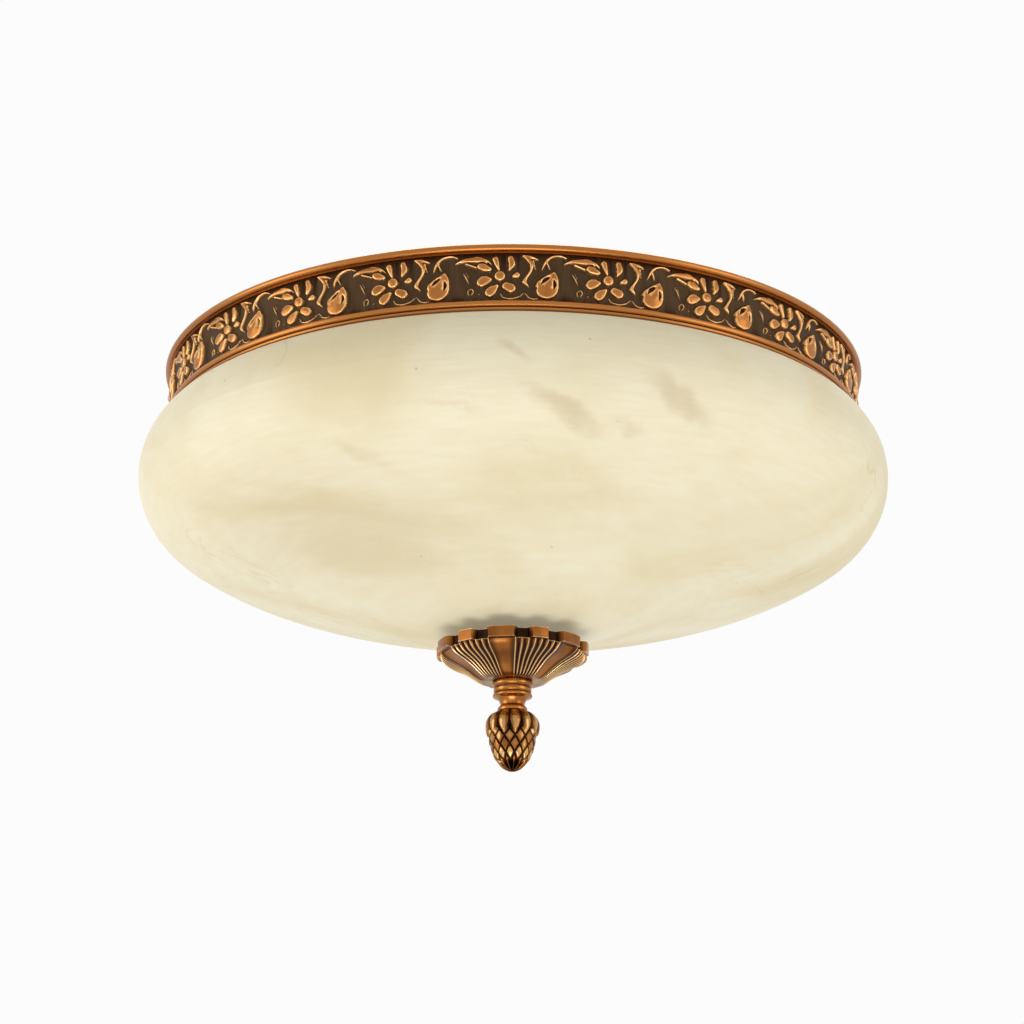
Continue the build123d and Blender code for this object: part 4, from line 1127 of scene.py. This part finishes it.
# ------------------------------------------------------------------ assemblies
class Assembly(ABC):
    """A sub-assembly: frame nodes in their finishes, and the pieces made for it here."""

    @abstractmethod
    def finishes(self) -> dict[str, Finish]:
        """The finish of each frame node in the sub-assembly."""

    def pieces(self) -> list[Piece]:
        """The pieces made here, which ride on the frame."""
        return []

    def build(self) -> None:
        """Dresses the frame nodes, makes the pieces and reports them."""
        for node, finish in self.finishes().items():
            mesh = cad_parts[node]
            mesh.data.materials.clear()
            mesh.data.materials.append(material_of(finish))
            log.info("%s: %s in %s", type(self).__name__, node, finish.slot)
        for piece in self.pieces():
            log.info("%s: made %s, %d faces", type(self).__name__, piece.name, len(piece.data.polygons))

    @staticmethod
    def fit(piece: Piece, body: str, finish: Finish, *nodes: str) -> Piece:
        """Finishes a new piece and puts it on its body.

        Args:
            piece: the new piece.
            body: the body it rides on.
            finish: its finish.
            *nodes: the frame nodes it stands for.

        Returns:
            The piece.
        """
        piece.data.materials.append(material_of(finish))
        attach(piece, body)
        if nodes:
            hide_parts(*nodes)
        return piece


@dataclass
class GalleryBand(Assembly):
    """Cast frieze between two spun mouldings, with the felt that the bowl's rim meets.

    Attributes:
        repeats: how often the ornament goes round.
        first_flower: direction of one flower's centre, in degrees from the front.
        flower_drop: the flower's centre below the ceiling.
        wall: thickness of the casting behind its ground.
        faces: most triangles that the finished casting may have.
    """

    repeats: int = 22
    first_flower: float = -2.1
    flower_drop: float = 17.8
    wall: float = 2.0
    faces: int = 190_000

    PATINA = (0.25, 1.5)        # how far out the patina ends and the metal is clear

    def finishes(self) -> dict[str, Finish]:
        """Mouldings in spun brass, felt on the flange."""
        return {"upper_moulding": SPUN_BRASS, "lower_moulding": SPUN_BRASS, "rim_felt": FELT}

    def pieces(self) -> list[Piece]:
        """The cast frieze."""
        return [self.frieze()]

    def frieze(self) -> Piece:
        """Wraps the relief round the band as one closed casting.

        Returns:
            The frieze, standing for the plain ground in the frame.
        """
        ground = Extent.of("gallery_frieze")
        relief = FriezeRelief(
            ground.radius, self.repeats, Extent.of("upper_moulding").bottom,
            Extent.of("lower_moulding").top, -self.flower_drop,
        )
        z = np.linspace(relief.bottom, relief.top, relief.rows)
        outside = np.tile(relief.heights, self.repeats) + ground.radius
        columns = outside.shape[1]
        back = ground.radius - self.wall
        radii = np.vstack([
            outside, *(np.full((1, columns), r) for r in (ground.radius, back, back, ground.radius))
        ])
        heights = np.array([*z, ground.top, ground.top, ground.bottom, ground.bottom])[:, None]
        front = -math.pi / 2 + math.radians(self.first_flower)
        angles = front + np.arange(columns) * FULL_TURN / columns
        points = around(radii, angles, heights).reshape(-1, 3)
        piece = mesh_piece("cast_frieze", points, grid_faces(len(radii), columns, closed_rows=True))
        self.thin(piece)
        outward(piece)
        found = points_of(piece)
        turned = np.arctan2(found[:, 1], found[:, 0]) - front
        on_face = np.hypot(found[:, 0], found[:, 1]) > ground.radius - self.wall / 2
        rise = relief.sample(relief.heights, turned, found[:, 2]) * on_face
        set_attribute(piece, RELIEF, smoothstep(rise, *self.PATINA))
        set_attribute(piece, EDGE, relief.sample(relief.edges, turned, found[:, 2]) * on_face)
        return self.fit(piece, "root", CAST_BRONZE, "gallery_frieze")

    def thin(self, piece: Piece) -> None:
        """Takes triangles out of the flat ground, and leaves them in the relief.

        Args:
            piece: the dense casting, whose mesh is replaced.
        """
        modifier = piece.modifiers.new("thin", "DECIMATE")
        modifier.ratio = self.faces / (2 * len(piece.data.polygons))
        bpy.context.view_layer.update()
        shown = piece.evaluated_get(bpy.context.evaluated_depsgraph_get())
        mesh = bpy.data.meshes.new_from_object(shown)
        piece.modifiers.clear()
        piece.data = mesh
        mesh.shade_smooth()


@dataclass
class CeilingPan(Assembly):
    """Crossbar, pan and wiring behind the band."""

    def finishes(self) -> dict[str, Finish]:
        """Plated steel, enamel, nylon and coloured insulation.

        Returns:
            The finish of each frame node.
        """
        return {
            "crossbar": ZINC, "earth_screw": BARE_BRASS, "ceiling_pan": ENAMEL, "pan_washer": ZINC,
            "band_screws": BARE_BRASS, "terminal_block": NYLON, "terminal_screws": BARE_BRASS,
            "live_lead": BROWN_LEAD, "neutral_lead": BLUE_LEAD, "earth_lead": EARTH_LEAD,
        }


@dataclass
class LampCluster(Assembly):
    """Stem, cluster and three lampholders with their bulbs.

    Attributes:
        lamps: number of lamps.
    """

    lamps: int = 3

    def finishes(self) -> dict[str, Finish]:
        """Plated steel and enamel in the middle, phenolic, porcelain and glass outwards.

        Returns:
            The finish of each frame node.
        """
        found = {
            "stem": ZINC, "stem_nuts": ZINC, "stem_lock_washers": ZINC, "cluster_body": ENAMEL,
            "cluster_lid": ENAMEL, "holder_nipples": ZINC, "nipple_nuts": ZINC,
            "holder_leads": BROWN_LEAD,
        }
        for number in range(1, self.lamps + 1):
            found |= {
                f"lampholder_shell_{number}": PHENOLIC,
                f"lampholder_insert_{number}": PORCELAIN,
                f"screw_sleeve_{number}": BARE_BRASS,
                f"bulb_cap_{number}": CAP_METAL,
                f"bulb_globe_{number}": FROSTED,
            }
        return found


@dataclass
class AlabasterBowl(Assembly):
    """The turned stone bowl, its grommet and the gasket under its foot."""

    def finishes(self) -> dict[str, Finish]:
        """Veined stone and rubber."""
        return {"alabaster_bowl": ALABASTER, "bowl_grommet": RUBBER, "foot_gasket": RUBBER}


@dataclass
class FlutedCup(Assembly):
    """The cast cup with its lobed rim and fluted underside."""

    def finishes(self) -> dict[str, Finish]:
        """Antiqued bronze that knows its cup's flutes."""
        return {"fluted_cup": FLUTED_BRONZE}


@dataclass
class Finial(Assembly):
    """Turned collar and the chased acorn below it.

    Attributes:
        collar_height: the collar's top ring to the bottom of the neck's bead.
        leaves: number of upright leaves round the acorn's upper part, and of scale columns below.
        shoulder: radius of the curve from the neck out to the widest line.
        leaf_tip: depth of the leaves' tips below the acorn's top.
        leaf_crown: how far a leaf's middle stands over its edges.
        leaf_sink: how far the scaly part lies under the leaves' upper parts.
        waist: the acorn's radius under the leaves' tips.
        waist_depth: depth from which the scaly part narrows to the tip.
        bluntness: how full the scaly part stays towards the tip.
        groove: depth of the groove between two scales.
        groove_width: width of that groove's slope.
        scale_swell: how far a scale's middle stands over its corners.
        scale_tilt: how far its one side stands over the other.
        scale_length: height of one scale.
        first_scale: depth of the middle of the first row of scales, between the leaves.
        bore_radius: radius of the stem's bore.
        bore_depth: depth of the bore.
        columns: points round the acorn.
        rows: points down its side.
    """

    collar_height: float = 18.0
    leaves: int = 13
    shoulder: float = 8.8
    leaf_tip: float = 14.2
    leaf_crown: float = 0.9
    leaf_sink: float = 1.2
    waist: float = 14.0
    waist_depth: float = 15.0
    bluntness: float = 1.7
    groove: float = 0.9
    groove_width: float = 1.1
    scale_swell: float = 0.4
    scale_tilt: float = 0.35
    scale_length: float = 9.6
    first_scale: float = 16.6
    bore_radius: float = 5.1
    bore_depth: float = 3.2
    columns: int = 338
    rows: int = 190

    LEAF_FALL = 0.04            # how fast the crests fall in below the shoulder
    LEAF_START = 0.48           # where a leaf begins to narrow, as a share of its tip's depth
    LEAF_HALF = 0.49            # half a leaf's width there, in leaf spacings
    LEAF_TAPER = 1.8            # how full the leaf stays towards its tip
    LEAF_FLANK = 0.75           # width of a leaf's sloping edge
    UNEVEN = (0.7, 0.3)         # a scale's swell: its mean, and how much it varies by hand
    ROW_BUNCH = 1.15            # how much closer the rows lie at the top and the tip
    WANDER = (2.3, 4.1)         # how that varies from one scale to the next, both ways
    FULL_PITCH = 5.0            # leaf spacing from which the grooves have their full width
    LEAF_RUB = (0.6, 1.0, 0.55)     # where the rubbing of a leaf starts and is full, and how far
    SCALE_RUB = (0.35, 0.9, 0.75)   # the same for a scale
    LEAF_OPEN = 0.45            # how free of patina a leaf is at its sides
    FADE = (2.0, 7.0)           # radii where the grooves towards the tip start and are full

    def finishes(self) -> dict[str, Finish]:
        """Nothing in the frame shows, as both nodes are made again here."""
        return {}

    def pieces(self) -> list[Piece]:
        """The turned collar and the chased acorn."""
        return [self.collar(), self.acorn()]

    def collar(self) -> Piece:
        """Turns the collar: three rings, a hollow neck and a bead, bored for the stem.

        Returns:
            The collar, standing for the shorter one in the frame.
        """
        extent = Extent.of("finial_collar")
        ring, bore = extent.radius, self.bore_radius
        foot = self.collar_height
        profile = np.vstack([
            [(bore, 0.0)],
            swelling((ring - 0.7, 0.0), (ring - 0.7, 2.8), 0.7),
            swelling((ring - 1.7, 3.2), (ring - 1.5, 6.6), 0.8),
            swelling((ring - 1.3, 7.0), (ring - 1.0, 9.3), 0.8),
            swelling((ring - 2.4, 9.7), (ring - 4.5, foot - 3.6), -0.9),
            swelling((ring - 4.0, foot - 2.8), (ring - 4.0, foot), 0.8),
            [(bore, foot)],
        ])
        angle = np.arange(self.columns) * FULL_TURN / self.columns
        points = around(profile[:, :1], angle, extent.top - profile[:, 1:])
        faces = grid_faces(len(profile), self.columns, closed_rows=True)
        piece = mesh_piece("turned_collar", points.reshape(-1, 3), faces)
        outward(piece)
        return self.fit(piece, "finial", FINIAL_BRASS, "finial_collar")

    def forms(self, depth: Grid, extent: Extent) -> tuple[Grid, Grid]:
        """Radii of the leaves' crests and of the scaly part before its grooves are cut.

        Args:
            depth: depths below the acorn's top.
            extent: how far the acorn reaches.

        Returns:
            The two radii at each depth.
        """
        above = np.clip(self.shoulder - depth, 0, self.shoulder)
        crest = extent.radius - self.shoulder + np.sqrt(self.shoulder**2 - above**2)
        crest = crest - self.LEAF_FALL * np.clip(depth - self.shoulder, 0, None) ** 2
        height = extent.top - extent.bottom
        narrowing = np.clip((depth - self.waist_depth) / (height - self.waist_depth), 0, 1)
        return crest, self.waist * np.sqrt(1 - narrowing**self.bluntness)

    def leaf_mask(self, across: Grid, depth: Grid, pitch: Grid) -> tuple[Grid, Grid]:
        """Where the leaves are.

        Args:
            across: place across the nearest leaf, in leaf spacings from its middle.
            depth: depth below the acorn's top.
            pitch: the leaves' spacing there, in millimetres.

        Returns:
            The leaf's share at each place, and how near its middle it is.
        """
        start = self.leaf_tip * self.LEAF_START
        narrowing = np.clip((depth - start) / (self.leaf_tip - start), 0, 1)
        half = self.LEAF_HALF * np.sqrt(1 - narrowing**self.LEAF_TAPER)
        leaf = smoothstep((half - np.abs(across)) * pitch, 0.0, self.LEAF_FLANK)
        return leaf, 1 - np.clip(np.abs(across) / np.maximum(half, 0.06), 0, 1) ** 2

    def scales(self, column: Grid, depth: Grid, pitch: Grid) -> tuple[Grid, Grid, Grid]:
        """The lattice of scales.

        Args:
            column: place round the acorn, in leaf spacings.
            depth: depth below the acorn's top.
            pitch: the leaves' spacing there, in millimetres.

        Returns:
            The share of scale at each place, its swell and its tilt.
        """
        down = (depth - self.first_scale) / self.scale_length + 0.5
        first, second = column + down, column - down
        off_first, off_second = first - np.round(first), second - np.round(second)
        edge = (0.5 - np.maximum(np.abs(off_first), np.abs(off_second))) * np.maximum(pitch, 0.5)
        swell = 1 - np.clip((off_first**2 + off_second**2) * 2, 0, 1)
        (mean, change), (one, other) = self.UNEVEN, self.WANDER
        swell = swell * (mean + change * np.sin(one * np.round(first) + other * np.round(second)))
        finer = np.clip(pitch / self.FULL_PITCH, 0.1, 1)
        return smoothstep(edge / finer, 0.15, self.groove_width), swell, off_first - off_second

    def acorn(self) -> Piece:
        """Sculpts the acorn: leaves over scales, with the stem's bore in its top.

        Returns:
            The acorn, standing for the smooth one in the frame.
        """
        node = Extent.of("finial_acorn")
        extent = Extent(node.radius, node.bottom, Extent.of("finial_collar").top - self.collar_height)
        down = np.linspace(0, 1, self.rows)
        depth = ((extent.top - extent.bottom) * np.sin(down * math.pi / 2) ** self.ROW_BUNCH)[:, None]
        angle = np.arange(self.columns) * FULL_TURN / self.columns
        column, deep = np.broadcast_arrays((angle * self.leaves / FULL_TURN)[None, :], depth)

        crest, scaly = self.forms(deep, extent)
        sunk = self.leaf_sink * (1 - smoothstep(deep, self.leaf_tip * 0.8, self.waist_depth))
        over = np.where(deep > self.shoulder, np.maximum(crest, self.waist), crest)
        plain = np.minimum(scaly, over - sunk)
        pitch = FULL_TURN * plain / self.leaves
        across = column - np.round(column)
        leaf, crown = self.leaf_mask(across, deep, FULL_TURN * crest / self.leaves)
        scale, swell, tilt = self.scales(column, deep, pitch)
        thin = smoothstep(plain, *self.FADE)
        cut = (1 - scale) * self.groove + (1 - swell) * self.scale_swell - tilt * self.scale_tilt
        cut = cut * thin
        radius = (plain - cut) * (1 - leaf) + (crest - (1 - crown) * self.leaf_crown) * leaf
        radius = np.clip(radius, 0, extent.radius)
        radius = np.where(deep < self.bore_depth, np.maximum(radius, self.bore_radius + 0.2), radius)

        scale = np.maximum(scale, 1 - thin)
        leaf_open = self.LEAF_OPEN + (1 - self.LEAF_OPEN) * crown
        raised = leaf * leaf_open + (1 - leaf) * scale * (deep > self.leaf_tip * 0.85)
        on_leaf, on_scale = (
            smoothstep(form, start, end) * most
            for form, (start, end, most) in ((crown, self.LEAF_RUB), (swell, self.SCALE_RUB))
        )
        rubbed = (leaf * on_leaf + (1 - leaf) * on_scale) * (leaf + (1 - leaf) * scale)
        bore = np.array([[self.bore_depth], [0.0]])
        rings = around(np.full_like(bore, self.bore_radius), angle, extent.top - bore)
        side = around(radius, angle, extent.top - deep)
        rows = np.concatenate([rings, side[:-1]])
        ends = [[0, 0, extent.top - self.bore_depth], [0, 0, extent.bottom]]
        count = len(rows) * self.columns
        first_ring, last_ring = np.arange(self.columns), np.arange(count - self.columns, count)
        faces = grid_faces(len(rows), self.columns).tolist()
        faces += [(count, b, a) for a, b in zip(first_ring, np.roll(first_ring, -1))]
        faces += [(count + 1, a, b) for a, b in zip(last_ring, np.roll(last_ring, -1))]
        piece = mesh_piece("chased_acorn", np.vstack([rows.reshape(-1, 3), ends]), faces)
        outward(piece)
        hidden = np.zeros(len(bore) * self.columns)
        for name, values in ((RELIEF, raised), (EDGE, rubbed)):
            set_attribute(piece, name, np.concatenate([hidden, values[:-1].ravel(), [0.0, 0.5]]))
        return self.fit(piece, "finial", CHASED_BRASS, "finial_acorn")


# ------------------------------------------------------------------ studio
@dataclass
class Studio:
    """Pale room, soft lamps and the camera at the photograph's angle.

    Attributes:
        floor_z: height of the floor, in metres.
        floor_size: width of the floor, in metres.
        distance: camera to the middle of the band's top, in millimetres.
        elevation: how far the camera looks up, in degrees.
        roll: how far the camera is turned about its own axis, in degrees.
        focal_px: focal length, in pixels of the picture.
        picture_px: width and height of the picture.
        centre_px: where the middle of the band's top lies in the picture.
        fill: level of the room's own light on the object.
    """

    floor_z: float = -2.4
    floor_size: float = 9.0
    distance: float = 1710.0
    elevation: float = 21.29
    roll: float = 0.2
    focal_px: float = 2786.0
    picture_px: float = 1024.0
    centre_px: tuple[float, float] = (513.6, 384.3)
    fill: float = 0.3

    SENSOR_MM = 36.0
    CLIP = (0.05, 50)

    def build(self) -> None:
        """Sets up the camera, the lamps, the floor and the room."""
        self.camera()
        self.lamp("lamp_left", azimuth=-74, elevation=2, away=1.5, size=(0.8, 1.3), watts=7, soft=0.02)
        self.lamp("lamp_right", azimuth=62, elevation=2, away=1.5, size=(0.7, 1.3), watts=5, soft=0.02)
        self.lamp("lamp_front", azimuth=-4, elevation=-54, away=2.2, size=(1.4, 1.2), watts=20, soft=1.0)
        self.lamp("lamp_back", azimuth=175, elevation=62, away=1.9, size=(1.2, 1.2), watts=16, soft=1.0)
        self.floor()
        self.room()
        bpy.context.scene.view_settings.view_transform = "Standard"

    def camera(self) -> None:
        """Places the camera by the photograph's perspective."""
        tilt = math.radians(self.elevation)
        data = bpy.data.cameras.new("camera")
        data.sensor_width = self.SENSOR_MM
        data.lens = self.focal_px / self.picture_px * self.SENSOR_MM
        data.shift_x = (self.picture_px / 2 - self.centre_px[0]) / self.picture_px
        data.shift_y = (self.centre_px[1] - self.picture_px / 2) / self.picture_px
        data.clip_start, data.clip_end = self.CLIP
        camera = bpy.data.objects.new("camera", data)
        camera.location = Vector((0, -math.cos(tilt), -math.sin(tilt))) * self.distance * MM
        lift = Matrix.Rotation(math.pi / 2 + tilt, 4, "X")
        camera.rotation_euler = (lift @ Matrix.Rotation(math.radians(self.roll), 4, "Z")).to_euler()
        bpy.context.scene.collection.objects.link(camera)
        bpy.context.scene.camera = camera

    def lamp(
        self, name: str, azimuth: float, elevation: float, away: float, size: tuple[float, float],
        watts: float, soft: float,
    ) -> None:
        """Adds one soft lamp that faces the light.

        Args:
            name: the lamp's name.
            azimuth: its direction from the front, to the right, in degrees.
            elevation: its direction over the horizon, in degrees.
            away: its distance in metres.
            size: its width and height in metres.
            watts: its power.
            soft: the share of it that matt surfaces take; the rest only shows as gloss.
        """
        data = bpy.data.lights.new(name, "AREA")
        data.shape = "RECTANGLE"
        data.size, data.size_y = size
        data.energy = watts
        data.diffuse_factor = soft
        turn, lift = math.radians(azimuth - 90), math.radians(elevation)
        way = Vector((math.cos(turn) * math.cos(lift), math.sin(turn) * math.cos(lift), math.sin(lift)))
        low, high = (Vector(corner) for corner in CAD_BOX)
        lamp = bpy.data.objects.new(name, data)
        lamp.location = (low + high) / 2 + way * away
        lamp.rotation_euler = way.to_track_quat("Z", "Y").to_euler()
        bpy.context.scene.collection.objects.link(lamp)

    def floor(self) -> None:
        """Lays a plain pale floor, which keeps the light's shadow."""
        half = self.floor_size / 2 / MM
        z = self.floor_z / MM
        corners = [(-half, -half, z), (half, -half, z), (half, half, z), (-half, half, z)]
        floor = mesh_piece("floor", np.array(corners), [(0, 1, 2, 3)])
        paint = PaleFloor(
            slot="floor_paint", colour="#f2f2f2", drift="#f0f0f0", patch_mm=400, roughness=0.8,
            grain_mm=4, grain_depth_mm=0.05, shown=0.66,
        )
        floor.data.materials.append(material_of(paint))

    def room(self) -> None:
        """White round the object for the eye, for gloss and through glass; softer light on it."""
        world = bpy.data.worlds.new("room")
        bpy.context.scene.world = world
        world.use_nodes = True
        tree = world.node_tree
        tree.nodes.clear()
        seen = seen_ray(tree)
        shown = add_node(tree, "ShaderNodeBackground", {"Color": linear(BACKGROUND), "Strength": 1.0})
        light = add_node(tree, "ShaderNodeBackground", {"Color": linear("#fffaf2"), "Strength": self.fill})
        mixed = add_node(tree, "ShaderNodeMixShader", {0: seen, 1: light.outputs[0], 2: shown.outputs[0]})
        add_node(tree, "ShaderNodeOutputWorld", {"Surface": mixed.outputs[0]})


def main() -> None:
    """Builds the studio and every sub-assembly."""
    logging.basicConfig(level=logging.INFO, format="%(message)s")
    Studio().build()
    for assembly in (
        GalleryBand(), CeilingPan(), LampCluster(), AlabasterBowl(), FlutedCup(), Finial(),
    ):
        assembly.build()


if __name__ == "__main__":
    main()
